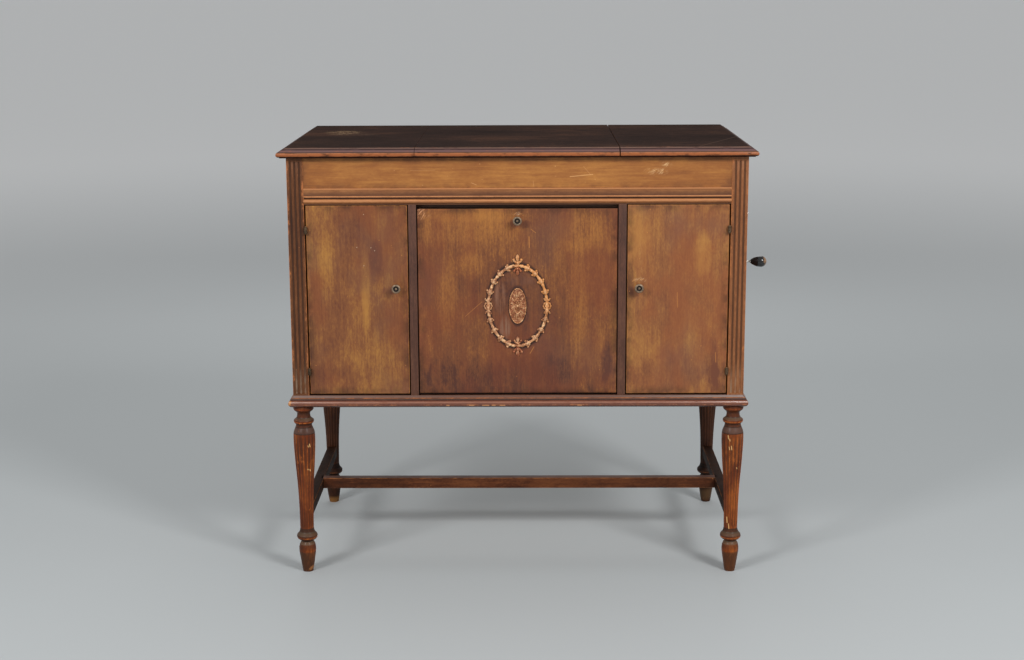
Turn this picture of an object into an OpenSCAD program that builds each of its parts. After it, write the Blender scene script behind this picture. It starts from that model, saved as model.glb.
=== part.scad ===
// Console gramophone cabinet: spring-driven, three-part top, two record doors, drop front
// over the horn, turned and fluted legs with H stretchers.
// X runs to the right, Y to the back, Z up. Millimetres.

/* [Case] */
// Width of the top over its mouldings
top_w = 965; // [900:1:1040]
// Depth of the top from front moulding to back edge
top_d = 543; // [500:1:600]
// Height of the whole cabinet
total_h = 897.5; // [860:0.5:940]
// Thickness of the top boards
top_t = 20.2; // [18:0.1:24]
// Overhang of the top past the posts at the front and sides
top_over = 18.1; // [16:0.1:24]
// Overhang of the top past the back
back_over = 5.3; // [5:0.1:8]
// Height of the underside of the case above the floor
case_z = 361.9; // [340:0.1:380]
// Width of the middle lid with its two seams
bay_w = 411; // [390:1:430]
// Seam on the left of the lid
seam_left = 0.9; // [0.6:0.1:2]
// Seam on the right of the lid
seam_right = 2.2; // [0.8:0.1:3]
// Width of the square posts
post_w = 33.4; // [28:0.1:38]
// Width of the stiles beside the drop front
stile_w = 16; // [15:0.5:22]
// Height of the base frame
base_t = 24.1; // [22:0.1:28]
// Projection of the base moulding past the posts
base_over = 9.9; // [7:0.1:14]
// How far the legs stand in from the faces of the posts
leg_inset = 18; // [17:0.5:24]
// Thickness of the side panels
side_t = 12; // [9:0.5:15]
// Thickness of the back panel
back_t = 6; // [5:0.5:8]
// Thickness of partitions, floor and motor board
board_t = 12; // [10:0.5:15]

/* [Front] */
// Thickness of the doors and the drop front
door_t = 18; // [16:0.5:20]
// Gap between a door and its post
door_gap = 3; // [2.6:0.1:4]
// Gap on either side of a stile
stile_gap = 2.4; // [1.3:0.1:3]
// Gap under the doors
door_foot_gap = 3.6; // [2.5:0.1:5]
// Gap under the drop front
drop_foot_gap = 1.5; // [1.2:0.1:3]
// Gap over the doors
door_head_gap = 1.4; // [1:0.1:3]
// Gap over the drop front
drop_head_gap = 8.5; // [6:0.5:10]
// Height of the pivots above the foot of the drop front, and behind its face
pivot_in = 7; // [6:0.5:8]
// Height of the plain frieze board
frieze_h = 62.3; // [55:0.1:68]
// Height of the head moulding over the doors
head_h = 33.3; // [30:0.1:38]
// Diameter of the door knobs
knob_d = 18.6; // [16:0.2:22]
// Reach of the knobs from the face
knob_h = 19; // [15:0.5:20]
// Height of the door knobs above the middle of the doors
door_knob_up = 27; // [0:1:60]
// Depth of the drop front knob below the top edge
drop_knob_down = 23; // [18:1:40]
// Distance of a door knob from the stile edge of the door
knob_in = 23.5; // [18:0.5:30]

/* [Ornament] */
// Half width of the oval wreath
wreath_a = 60; // [50:1:70]
// Half height of the oval wreath
wreath_b = 83; // [70:1:95]
// How far the middle of the wreath is below the middle of the drop front
wreath_down = 6.85; // [0:0.05:14]
// Half width of the middle patera
patera_a = 18; // [14:0.5:22]
// Half height of the middle patera
patera_b = 37; // [30:0.5:42]
// Thickness of the applied ornament
ornament_t = 4; // [3:0.5:5]
// Husk clusters in each quarter of the wreath
husks = 4; // [3:1:6]

/* [Legs and stretchers] */
// Largest radius of a leg
leg_r = 22.8; // [20:0.1:26]
// Flutes round a leg
leg_flutes = 16; // [12:1:20]
// Width of the stretchers
rail_w = 22; // [18:0.5:24]
// Height of the stretchers
rail_h = 23.7; // [20:0.1:28]
// Height of the underside of the stretchers
rail_z = 115.2; // [112:0.1:118]
// Place of the cross stretcher behind the middle
cross_y = -13; // [-60:1:60]
// Length of the leg tenons
tenon_l = 18; // [12:1:20]
// Diameter of the round tenons
tenon_d = 14; // [10:0.5:16]

/* [Flutes of the posts] */
// Flutes on the front of a post
post_flutes = 3; // [2:1:3]
// Spacing of the flutes
flute_pitch = 9; // [7:0.1:9.5]
// Radius of a flute
flute_r = 2.6; // [2:0.1:3]
// Depth of a flute
flute_deep = 1.6; // [1:0.1:1.8]

/* [Works] */
// Depth of the top of the motor board below the lid
board_down = 100; // [96:1:110]
// Diameter of the turntable
table_d = 304; // [250:1:306]
// Place of the spindle to the right of the middle
spindle_x = -30; // [-34:1:-24]
// Place of the spindle behind the front edge of the motor board
spindle_back = 151.7; // [150:0.1:156]
// Crank axis below the motor board's underside
crank_down = 30; // [28:0.5:34]
// Length of the crank arm
crank_arm = 103; // [90:1:110]
// Diameter of the crank shaft
shaft_d = 9; // [8:0.5:10]
// Module of the gears
gear_m = 1.25; // [1.25:0.05:1.3]
// Running clearance round a shaft
run = 0.06; // [0.04:0.01:0.1]
// Place of the tone arm's pivot to the right of the spindle
arm_dx = 145; // [140:1:148]
// Place of the tone arm's pivot behind the spindle
arm_dy = 180; // [175:1:190]
// Widest opening of the lid in degrees
lid_open = 72; // [60:1:75]
// Album slots in each record rack
rack_slots = 5; // [3:1:6]

/* [Hidden] */
$fn = 48;

// Levels and faces of the case
lid_z = total_h - top_t;
base_z = case_z + base_t;
head_z = lid_z - frieze_h - head_h;
frieze_z = head_z + head_h;
case_x = top_w / 2 - top_over;
case_y = top_over - top_d / 2;
back_y = top_d / 2 - back_over;
post_in = case_x - post_w;
stile_lap = 0.9;
stile_in = bay_w / 2 - stile_lap;
stile_out = stile_in + stile_w;
face_in = 0.5;
rail_in = 1.2;
rail_deep = 20;
panel_in = 5;
// Glue line between pieces of one group
glue = 0.1;
panel_x = case_x - panel_in - side_t;
floor_z = base_z + board_t;
part_x = (stile_in + stile_out) / 2;
part_y = case_y + rail_in + rail_deep + 1;
inner_back = back_y - back_t;
board_z = lid_z - board_down;
board_under = board_z - board_t;
bay_in = part_x - board_t / 2;

// Doors and drop front
door_y = case_y + face_in;
door_x0 = stile_out + stile_gap;
door_x1 = post_in - door_gap;
door_z0 = base_z + door_foot_gap;
door_z1 = head_z - door_head_gap;
drop_x = stile_in - stile_gap;
drop_z0 = base_z + drop_foot_gap;
drop_z1 = head_z - drop_head_gap;
pivot_y = door_y + pivot_in;
pivot_z = drop_z0 + pivot_in;
pivot_r = 3;
knuckle_r = 3.6;
door_knob_z = (door_z0 + door_z1) / 2 + door_knob_up;
wreath_z = (drop_z0 + drop_z1) / 2 - wreath_down;
knuckle_h = 13;
knuckle_x = door_x1 + 0.2;
knuckle_y = case_y - knuckle_r - 0.2;
leaf_t = 1.3;
leaf_w = 14;
hinge_low_z = base_z + 51;
hinge_high_z = head_z - 51;
pin_r = 1.3;

// Lid hinge axis, stay
lid_pin_y = back_y + 3.5;
lid_pin_z = lid_z - 3.5;
lid_knuckle_r = 3.2;
lid_hinge_x = bay_w / 2 - 65;
lid_knuckle = 14;
lid_knuckle_gap = 0.3;
stay_r = 72;
stay_w = 5;
stay_t = 2;
stay_x = bay_w / 2 - 12;

// Legs
leg_in = case_x - leg_inset;
leg_front_y = case_y + leg_inset;
leg_back_y = back_y - leg_inset;
leg_top = case_z;

// Works
grille_y = part_y + 1;
grille_t = 8;
board_front = grille_y + grille_t + 0.5;
spindle_y = board_front + spindle_back;
crank_z = board_under - crank_down;
crank_y = spindle_y + 10;
barrel_x = spindle_x + 80;
plate_t = 3;
frame_low = crank_z - 68;
wheel_t = 64;
inter_t = 48;
pinion_t = 12;
crown_t = 36;
wheel_c = gear_m * (wheel_t + pinion_t) / 2;
inter_c = gear_m * (inter_t + pinion_t) / 2;
axes = [barrel_x - spindle_x, crank_y - spindle_y];
axes_l = norm(axes);
along = (inter_c * inter_c - wheel_c * wheel_c + axes_l * axes_l) / (2 * axes_l);
aside = sqrt(inter_c * inter_c - along * along);
inter_x = spindle_x + (along * axes[0] - aside * axes[1]) / axes_l;
inter_y = spindle_y + (along * axes[1] + aside * axes[0]) / axes_l;
spindle_r = 4;
pin_up = 9;
record_pin_r = 3.5;
arbor_r = 4;
table_z = board_z + 13;
table_t = 10;
felt_t = 1.5;
arm_x = spindle_x + arm_dx;
arm_y = spindle_y + arm_dy;
arm_z = table_z + table_t + felt_t + 40;
arm_l = 190;
arm_rest = 12;
neck_y = 28;
box_r = 24;
box_off = 12;
tube_r = 9;
crank_x0 = case_x + 18;
knob_x0 = crank_x0 + 16;
knob_l = 34.2;
crank_tip = knob_x0 + knob_l;
horn_top = frame_low - 12;
// Places on the motor board
brake_way = -30;
brake_x = spindle_x + (table_d / 2 + 24.4) * cos(brake_way);
brake_y = spindle_y + (table_d / 2 + 24.4) * sin(brake_way);
speed_x = spindle_x - table_d / 2 + 22;
speed_y = part_y + 26;
cup_r = 17;
cup_x = [bay_in - 34, bay_in - 76];
cup_y = board_front + 22.5;
// Wood screws: shank, length in the wood below their boards, and their places
screw_r = 1.8;
screw_low = 8;
screw_in = 9;
back_screw_in = 10;
back_screw_l = 5;
back_screw_z = [for (z = [base_z + 40 : 140 : lid_z - 20]) z];
// Plates of the motor from the spindle and from the barrel
frame_left = 74;
frame_right = 46;
frame_front = 54;
// Governor and its wheel, phases of the teeth
gov_wheel = 20;
gov_worm = 4.5;
gov_z = frame_low + 26;
gov_y = spindle_y - gov_wheel - gov_worm - 0.4;
gov_x0 = spindle_x - 66;
gov_x1 = spindle_x + 14;
to_inter = atan2(inter_y - spindle_y, inter_x - spindle_x);
to_barrel = atan2(crank_y - inter_y, barrel_x - inter_x);
spindle_turn = to_inter;
inter_wheel_turn = to_inter + 180 + 180 / inter_t;
inter_turn = to_barrel;
great_turn = to_barrel + 180 + 180 / wheel_t;
// Horn
horn_t = 8;
horn_y0 = board_front;
horn_y1 = arm_y - 62;
throat_z = floor_z + 78;
throat_w = 34;
elbow_r = 20;
elbow_in = arm_y - horn_y1 - 15 - 30;
grille_x = bay_in - 0.5;

// The crank stands out on one side, so the case sits this far left of the middle of it all
case_shift = -(crank_tip - top_w / 2) / 2;

module placed() { translate([case_shift, 0, 0]) children(); }

// A length along X or Y of a section drawn as [across, up]
module along_x(x0, x1) { translate([x0, 0, 0]) rotate([90, 0, 90]) linear_extrude(x1 - x0) children(); }
module along_y(y0, y1) { translate([0, y1, 0]) rotate([90, 0, 0]) linear_extrude(y1 - y0) children(); }
module box(a, b) { translate(a) cube(b - a); }
module rod(a, r, l, axis) {
    translate(a) rotate(axis == "x" ? [0, 90, 0] : axis == "y" ? [-90, 0, 0] : [0, 0, 0])
        cylinder(r = r, h = l);
}
module both_x() { children(); mirror([1, 0, 0]) children(); }
function arc(c, r, a0, a1, n) =
    [for (i = [0 : n]) let (a = a0 + (a1 - a0) * i / n) c + r * [cos(a), sin(a)]];

// Section of the top's moulded edge: 0 is the nose and the underside, the board runs to -deep
function top_section(deep) = concat([[-deep, 0], [-6.5, 0], [-6.5, 1.4]],
    arc([-5.4, 6.9], 5.4, -90, 72, 12), [[-5.2, 12.3], [-6.4, 13.2], [-9, 15.4], [-12.6, 17.5],
    [-17, 18.8], [-17, top_t], [-deep, top_t]]);
// Section of the base moulding: 0 is the face of the posts and the underside
function base_section(deep) = concat([[-deep, 0]], arc([base_over - 8, 8], 8, -90, 62, 12),
    [[base_over - 3.9, 15.2], [base_over - 3.7, 16.7], [base_over - 6.6, 19.6], [base_over - 7.2, 19.8],
    [0.3, base_t], [-deep, base_t]]);
// Section of the head moulding: 0 is its plain face and its underside
function head_section() = concat([[-rail_deep, 0], [0, 0], [0, 2]], arc([-0.6, 7.2], 4.8, -75, 75, 10),
    [[-1.4, 12.6], [-1.4, 14.2], [0.6, 14.2]], arc([0.4, 16.4], 1.4, -80, 80, 5), [[0.6, 18.6],
    [0.6, head_h - 3.2]], arc([0.4, head_h - 1.5], 1.5, -80, 80, 5), [[-rail_deep, head_h]]);

// ---- Top ----
module top_board(x0, x1) {
    color([0.22, 0.14, 0.11]) intersection() {
        along_x(x0, x1) polygon([for (p = top_section(top_d)) [-top_d / 2 - p[0], lid_z + p[1]]]);
        children();
    }
}
module side_edge(s) {
    along_y(-top_d, top_d) polygon([for (p = top_section(top_w)) [s * (top_w / 2 + p[0]), lid_z + p[1]]]);
}
module left_top() { top_board(-top_w / 2, -bay_w / 2 - seam_left / 2) side_edge(-1); }
module right_top() { top_board(bay_w / 2 + seam_right / 2, top_w / 2) side_edge(1); }
module lid() {
    top_board(seam_left / 2 - bay_w / 2, bay_w / 2 - seam_right / 2)
        box([-top_w, -top_d, lid_z - 1], [top_w, top_d / 2, total_h + 1]);
}
// Knuckles along X about the lid's pin, on leaves that lie on the back rail or under the lid
module lid_knuckles(first) {
    for (s = [-1, 1], k = [first : 2 : 2])
        translate([s * lid_hinge_x + (k - 1.5) * lid_knuckle + lid_knuckle_gap / 2, lid_pin_y, lid_pin_z])
            rotate([0, 90, 0]) difference() {
                cylinder(r = lid_knuckle_r, h = lid_knuckle - lid_knuckle_gap);
                translate([0, 0, -1]) cylinder(r = pin_r + (first == 1 ? run : 0), h = lid_knuckle + 2);
            }
}
module lid_fixed_fittings() {
    guide_z = lid_z - 14;
    guide_gap = 0.25;
    cheek = 1.4;
    cheek_y0 = lid_pin_y - stay_r - stay_w / 2 - 5;
    cheek_y1 = lid_pin_y - stay_r + stay_w / 2 + 4;
    color([0.45, 0.38, 0.22]) {
        for (x = [stay_x - guide_gap - cheek, stay_x + stay_t + guide_gap])
            box([x, cheek_y0, guide_z - 7], [x + cheek, cheek_y1, guide_z + 7]);
        box([stay_x - guide_gap - cheek, cheek_y0 - 2, guide_z - 7], [bay_in, cheek_y0, guide_z + 7]);
    }
    color([0.45, 0.38, 0.22]) {
        lid_knuckles(0);
        for (s = [-1, 1]) {
            rod([s * lid_hinge_x - 1.5 * lid_knuckle, lid_pin_y, lid_pin_z], pin_r, 3 * lid_knuckle, "x");
            for (k = [0, 2])
                translate([s * lid_hinge_x + (k - 1.5) * lid_knuckle + lid_knuckle_gap / 2, 0, 0])
                    box([0, back_y, lid_pin_z - 24],
                        [lid_knuckle - lid_knuckle_gap, back_y + 1.2, lid_pin_z]);
            box([s * lid_hinge_x - 1.5 * lid_knuckle, back_y, lid_pin_z - 24],
                [s * lid_hinge_x + 1.5 * lid_knuckle, back_y + 1.2, lid_pin_z - 6]);
        }
    }
}
module lid_hinge_moving() {
    color([0.45, 0.38, 0.22]) {
        lid_knuckles(1);
        for (s = [-1, 1]) translate([s * lid_hinge_x - lid_knuckle / 2 + lid_knuckle_gap / 2, 0, 0])
            box([0, lid_pin_y - 0.8, lid_pin_z + pin_r + 0.7],
                [lid_knuckle - lid_knuckle_gap, lid_pin_y + 0.8, lid_z]);
    }
}
// A brass quadrant under the lid, centred on the lid's pin
module lid_stay() {
    color([0.6, 0.5, 0.28]) translate([stay_x, lid_pin_y, lid_pin_z]) rotate([90, 0, 90]) {
        rotate([0, 0, 180]) rotate_extrude(angle = lid_open + 6)
            translate([stay_r - stay_w / 2, 0]) square([stay_w, stay_t]);
        translate([-stay_r - 14, -0.4, 0]) cube([28, lid_z - lid_pin_z + 0.4, stay_t]);
    }
}

// ---- Case ----
module frieze_board() {
    color([0.55, 0.33, 0.2])
        box([-post_in, case_y + rail_in, frieze_z], [post_in, case_y + rail_in + rail_deep, lid_z]);
}
module head_moulding() {
    color([0.4, 0.22, 0.15]) along_x(-post_in, post_in)
        polygon([for (p = head_section()) [case_y + rail_in - p[0], head_z + p[1]]]);
}
// A square post with stopped flutes on its front
module front_post(s) {
    flute_z0 = base_z + 6;
    flute_z1 = lid_z - 10;
    color([0.42, 0.3, 0.22]) difference() {
        box([min(s * post_in, s * case_x), case_y, base_z],
            [max(s * post_in, s * case_x), case_y + post_w, lid_z]);
        for (k = [0 : post_flutes - 1])
            translate([s * (post_in + post_w / 2 + (k - (post_flutes - 1) / 2) * flute_pitch),
                case_y + flute_deep - flute_r, 0]) {
                translate([0, 0, flute_z0]) cylinder(r = flute_r, h = flute_z1 - flute_z0);
                for (z = [flute_z0, flute_z1]) translate([0, 0, z]) sphere(r = flute_r * 0.99);
            }
    }
}
module front_left_post() { front_post(-1); }
module front_right_post() { front_post(1); }
module rear_posts() {
    color([0.4, 0.28, 0.2]) both_x() box([post_in, back_y - post_w, base_z], [case_x, back_y, lid_z]);
}
module side_panel() {
    box([panel_x, case_y + post_w, base_z], [panel_x + side_t, back_y - post_w, lid_z]);
}
module left_side_panel() { color([0.45, 0.3, 0.2]) mirror([1, 0, 0]) side_panel(); }
module right_side_panel() {
    color([0.45, 0.3, 0.2]) difference() {
        side_panel();
        rod([panel_x - 1, crank_y, crank_z], shaft_d / 2 + 4, side_t + 2, "x");
    }
}
module back_panel() {
    color([0.5, 0.38, 0.26]) difference() {
        box([-post_in, inner_back, base_z], [post_in, back_y, lid_z]);
        for (s = [-1, 1], z = back_screw_z)
            rod([s * (post_in - back_screw_in), inner_back - 1, z], screw_r + glue, back_t + 2, "y");
    }
}
module bottom_board() {
    color([0.45, 0.33, 0.22]) {
        box([-post_in, door_y + door_t + 4, base_z], [post_in, inner_back, floor_z]);
        both_x() box([post_in - 1, case_y + post_w, base_z], [panel_x, back_y - post_w, floor_z]);
    }
}
// Four rails: the front and side ones carry the base moulding and meet in mitres
module base_frame() {
    deep = 62;
    nose = case_x + base_over;
    front = case_y - base_over;
    in_x = case_x - deep;
    in_y = case_y + deep;
    color([0.33, 0.18, 0.13]) difference() {
        union() {
            intersection() {
                along_x(-nose, nose) polygon([for (p = base_section(deep)) [case_y - p[0], case_z + p[1]]]);
                translate([0, 0, case_z - 1]) linear_extrude(base_t + 2)
                    polygon([[-nose, front], [nose, front], [in_x, in_y], [-in_x, in_y]]);
            }
            both_x() intersection() {
                along_y(front, back_y)
                    polygon([for (p = base_section(deep)) [case_x + p[0], case_z + p[1]]]);
                translate([glue, 0, case_z - 1]) linear_extrude(base_t + 2)
                    polygon([[nose, front], [nose, back_y], [in_x, back_y], [in_x, in_y]]);
            }
            box([-in_x, back_y - deep, case_z], [in_x, back_y, base_z]);
        }
        for (s = [-1, 1], y = [leg_front_y, leg_back_y])
            translate([s * leg_in, y, case_z - 1]) cylinder(r = tenon_d / 2 + glue, h = tenon_l + 1);
    }
}
module stiles() {
    color([0.33, 0.25, 0.2]) both_x()
        difference() {
            box([stile_in, case_y + rail_in, base_z], [stile_out, case_y + rail_in + rail_deep, head_z]);
            rod([stile_in - 1, pivot_y, pivot_z], pivot_r, 11, "x");
        }
}
module partition() {
    box([bay_in, part_y, floor_z], [bay_in + board_t, inner_back, lid_z]);
}
module left_partition() { color([0.5, 0.36, 0.24]) mirror([1, 0, 0]) partition(); }
module right_partition() {
    color([0.5, 0.36, 0.24]) difference() {
        partition();
        rod([bay_in - 1, crank_y, crank_z], shaft_d / 2 + 3, board_t + 2, "x");
    }
}

// ---- Doors ----
module door() {
    difference() {
        box([door_x0, door_y, door_z0], [door_x1, door_y + door_t, door_z1]);
        for (z = [hinge_low_z, hinge_high_z])
            box([door_x1 - leaf_t, door_y - 1, z - knuckle_h / 2],
                [door_x1 + 1, door_y + leaf_w + 0.1, z + knuckle_h / 2]);
        translate([door_x0 + knob_in, door_y - 1, door_knob_z]) rotate([-90, 0, 0])
            cylinder(r = 2.5, h = 12);
    }
}
module left_door() { color([0.52, 0.33, 0.2]) mirror([1, 0, 0]) door(); }
module right_door() { color([0.52, 0.33, 0.2]) door(); }
module drop_front() {
    color([0.48, 0.29, 0.19]) difference() {
        along_x(-drop_x, drop_x) polygon(concat([[door_y, drop_z1], [door_y + door_t, drop_z1],
            [door_y + door_t, drop_z0]], arc([pivot_y, pivot_z], pivot_in, -90, -180, 8)));
        for (s = [-1, 1]) rod([s * drop_x - 11, pivot_y, pivot_z], pivot_r + run, 22, "x");
        translate([0, door_y - 1, drop_z1 - drop_knob_down]) rotate([-90, 0, 0]) cylinder(r = 2.5, h = 12);
    }
}
// A turned metal knob: shank, waist, rimmed face with a sunk ring and a middle boss
module knob(x, z) {
    r = knob_d / 2;
    color([0.35, 0.32, 0.27]) translate([x, door_y, z]) rotate([90, 0, 0]) rotate_extrude() polygon(concat(
        [[0, -10], [2.4, -10], [2.4, 0], [r * 0.62, 0], [r * 0.62, 1.2], [r * 0.45, 2.2],
        [r * 0.4, knob_h * 0.45], [r * 0.62, knob_h * 0.6]], arc([r - 2.4, knob_h - 4.2], 2.4, -60, 60, 6),
        [[r * 0.72, knob_h - 1], [r * 0.66, knob_h - 2.2], [r * 0.4, knob_h - 2.4],
        [r * 0.36, knob_h - 1.4], [r * 0.2, knob_h - 0.4], [0, knob_h]]));
}
module left_knob() { knob(-door_x0 - knob_in, door_knob_z); }
module right_knob() { knob(door_x0 + knob_in, door_knob_z); }
module drop_front_knob() { knob(0, drop_z1 - drop_knob_down); }
// Door hinges: the middle knuckle moves with the door, the outer two and the pin stay on the post
module hinge_barrel(z0, z1, bore) {
    translate([knuckle_x, knuckle_y, z0]) difference() {
        cylinder(r = knuckle_r, h = z1 - z0);
        translate([0, 0, -1]) cylinder(r = bore, h = z1 - z0 + 2);
    }
}
module front_hinge_fixed() {
    third = knuckle_h / 3;
    color([0.25, 0.22, 0.19]) {
        both_x() for (z = [hinge_low_z, hinge_high_z]) {
            for (z0 = [z - knuckle_h / 2, z + third / 2]) {
                hinge_barrel(z0, z0 + third - 0.15, pin_r);
                box([knuckle_x + 0.8, knuckle_y + pin_r + 0.8, z0],
                    [post_in, case_y + 1.2, z0 + third - 0.15]);
            }
            translate([knuckle_x, knuckle_y, z - knuckle_h / 2 - 0.6])
                cylinder(r = pin_r, h = knuckle_h + 1.2);
            for (s = [-1, 1]) translate([knuckle_x, knuckle_y, z + s * (knuckle_h / 2 + 0.6)])
                sphere(r = 2);
            box([post_in - leaf_t, case_y + 0.2, z - knuckle_h / 2],
                [post_in, case_y + leaf_w, z + knuckle_h / 2]);
        }
        both_x() rod([drop_x - 8, pivot_y, pivot_z], pivot_r, stile_in + 10 - drop_x + 8, "x");
    }
}
module door_hinges() {
    third = knuckle_h / 3;
    for (z = [hinge_low_z, hinge_high_z]) {
        hinge_barrel(z - third / 2 + 0.15, z + third / 2 - 0.15, pin_r + run);
        box([knuckle_x - 2.6, knuckle_y + pin_r + 0.8, z - third / 2 + 0.15],
            [door_x1, door_y, z + third / 2 - 0.15]);
        box([door_x1 - leaf_t, door_y, z - knuckle_h / 2], [door_x1, door_y + leaf_w, z + knuckle_h / 2]);
    }
}
module left_door_hinges() { color([0.25, 0.22, 0.19]) mirror([1, 0, 0]) door_hinges(); }
module right_door_hinges() { color([0.25, 0.22, 0.19]) door_hinges(); }

// ---- Ornament on the drop front ----
function oval(a, b, n) = [for (i = [0 : n - 1]) [a * cos(360 * i / n), b * sin(360 * i / n)]];
// Lays flat work on the drop front, its first direction across and its second up
module on_front(z) { translate([0, door_y, z]) rotate([90, 0, 0]) children(); }
module husk_leaf() {
    linear_extrude(ornament_t - 0.6)
        polygon([[-2.5, 6.6], [-0.5, 3], [3, 2.6], [9, 1.4], [9, -1.4], [3, -2.6], [-0.5, -3], [-2.5, -6.6],
            [-4.4, -3], [-9, -1.6], [-9, 1.6], [-4.4, 3]]);
}
// Palmette that points up from the ring: stem, two curled side leaves and a blunt top
module palmette() {
    linear_extrude(ornament_t)
        polygon([[-3, -2], [-2.6, 5], [-6.5, 9], [-10, 12], [-8, 15], [-4.5, 13.5], [-4, 17.5], [0, 21.5],
            [4, 17.5], [4.5, 13.5], [8, 15], [10, 12], [6.5, 9], [2.6, 5], [3, -2]]);
}
module wreath() {
    ring_w = 2.4;
    husk_from = 21;
    husk_step = 50 / (husks - 1);
    color([0.72, 0.48, 0.33]) on_front(wreath_z) {
        linear_extrude(ornament_t - 1.4) difference() {
            polygon(oval(wreath_a + ring_w, wreath_b + ring_w, 72));
            polygon(oval(wreath_a - ring_w, wreath_b - ring_w, 72));
        }
        for (sx = [0, 1], sy = [0, 1]) mirror([sx, 0, 0]) mirror([0, sy, 0])
            for (k = [0 : husks - 1]) {
                t = husk_from + k * husk_step;
                translate([wreath_a * cos(t), wreath_b * sin(t), 0])
                    rotate(atan2(wreath_b * cos(t), -wreath_a * sin(t))) husk_leaf();
            }
        for (sx = [-1, 1]) translate([sx * wreath_a, 0, 0]) {
            linear_extrude(ornament_t - 0.8) polygon([for (i = [0 : 63]) let (t = 360 * i / 64)
                (6.6 + 2.3 * abs(cos(4 * t))) * [cos(t), sin(t)]]);
            cylinder(r = 2.4, h = ornament_t);
        }
        for (sy = [0, 1]) mirror([0, sy, 0]) {
            translate([0, wreath_b, 0]) palmette();
            translate([0, wreath_b, 0]) mirror([0, 1, 0]) scale(0.82) palmette();
        }
    }
}
// Oval patera: a raised rim round a dished field with leaf rays and an oval boss
module patera() {
    rim = 2.4;
    rays = 14;
    color([0.72, 0.48, 0.33]) on_front(wreath_z) {
        linear_extrude(ornament_t - 1.8) polygon(oval(patera_a - rim / 2, patera_b - rim / 2, 60));
        linear_extrude(ornament_t - 0.4) difference() {
            polygon(oval(patera_a, patera_b, 60));
            polygon(oval(patera_a - rim, patera_b - rim, 60));
        }
        for (k = [0 : rays - 1]) {
            t = 360 * (k + 0.5) / rays;
            tip = [(patera_a - rim - 1) * cos(t), (patera_b - rim - 1) * sin(t)];
            foot = tip * 0.36;
            way = (tip - foot) / norm(tip - foot);
            off = [-way[1], way[0]] * 1.6;
            linear_extrude(ornament_t - 0.9)
                polygon([foot, foot + (tip - foot) * 0.7 + off, tip, foot + (tip - foot) * 0.7 - off]);
        }
        linear_extrude(ornament_t) polygon(oval(patera_a * 0.3, patera_b * 0.3, 32));
    }
}

// ---- Legs and stretchers ----
// Turned outline, as [share of the largest radius, share of the leg's height]
leg_turning = [[0.465, 0], [0.51, 0.013], [0.59, 0.043], [0.66, 0.075], [0.735, 0.105], [0.775, 0.124],
    [0.78, 0.137], [0.765, 0.151], [0.715, 0.166], [0.64, 0.176], [0.54, 0.184], [0.56, 0.1885],
    [0.65, 0.191], [0.83, 0.198], [0.93, 0.206], [0.955, 0.2155], [0.925, 0.2245], [0.86, 0.23],
    [0.71, 0.24], [0.625, 0.2585], [0.632, 0.307], [0.645, 0.368], [0.667, 0.429], [0.706, 0.489],
    [0.763, 0.55], [0.838, 0.61], [0.908, 0.67], [0.96, 0.73], [0.99, 0.77], [1, 0.795], [0.995, 0.82],
    [0.985, 0.834], [0.935, 0.848], [0.85, 0.861], [0.77, 0.873], [0.725, 0.884], [0.733, 0.891],
    [0.86, 0.8965], [0.915, 0.903], [0.925, 0.909], [0.89, 0.9155], [0.81, 0.919], [0.655, 0.927],
    [0.6, 0.939], [0.583, 0.951], [0.615, 0.9585], [0.69, 0.9635], [0.83, 0.97], [0.91, 0.976],
    [0.94, 0.984], [0.925, 0.9935], [0.89, 1]];
module turned() {
    rotate_extrude()
        polygon(concat([[0, 0]], [for (p = leg_turning) [p[0] * leg_r, p[1] * leg_top]], [[0, leg_top]]));
}
function leg_at(h) = lookup(h, [for (p = leg_turning) [p[1], p[0]]]) * leg_r;
// One straight cut of a flute between two heights, following the leg's surface
module flute_cut(h0, h1, r0, r1, deep0, deep1) {
    z0 = h0 * leg_top;
    z1 = h1 * leg_top;
    x0 = leg_at(h0) + r0 - deep0;
    x1 = leg_at(h1) + r1 - deep1;
    translate([x0, 0, z0]) rotate([0, atan2(x1 - x0, z1 - z0), 0])
        cylinder(r1 = r0, r2 = r1, h = norm([x1 - x0, z1 - z0]));
}
module leg(x, y) {
    wide = 3.1 * leg_r / 22.8 * 16 / leg_flutes;
    slim = wide * 0.68;
    color([0.38, 0.2, 0.14]) translate([x, y, 0]) {
        difference() {
            turned();
            for (k = [0 : leg_flutes - 1]) rotate(360 * (k + 0.5) / leg_flutes) {
                flute_cut(0.272, 0.489, slim, slim * 1.12, 1.3, 1.3);
                flute_cut(0.489, 0.67, slim * 1.12, wide * 0.92, 1.3, 1.5);
                flute_cut(0.67, 0.84, wide * 0.92, wide, 1.5, 0.25);
                translate([leg_at(0.67) + wide * 0.92 - 1.5, 0, 0.67 * leg_top]) sphere(r = wide * 0.97);
            }
            rod([0, y < 0 ? 0 : -leg_r, rail_z + rail_h / 2], tenon_d / 2 - 2, leg_r, "y");
        }
        translate([0, 0, leg_top - 1]) cylinder(r = tenon_d / 2, h = tenon_l + 0.5);
    }
}
module front_left_leg() { leg(-leg_in, leg_front_y); }
module front_right_leg() { leg(leg_in, leg_front_y); }
module rear_left_leg() { leg(-leg_in, leg_back_y); }
module rear_right_leg() { leg(leg_in, leg_back_y); }
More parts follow.
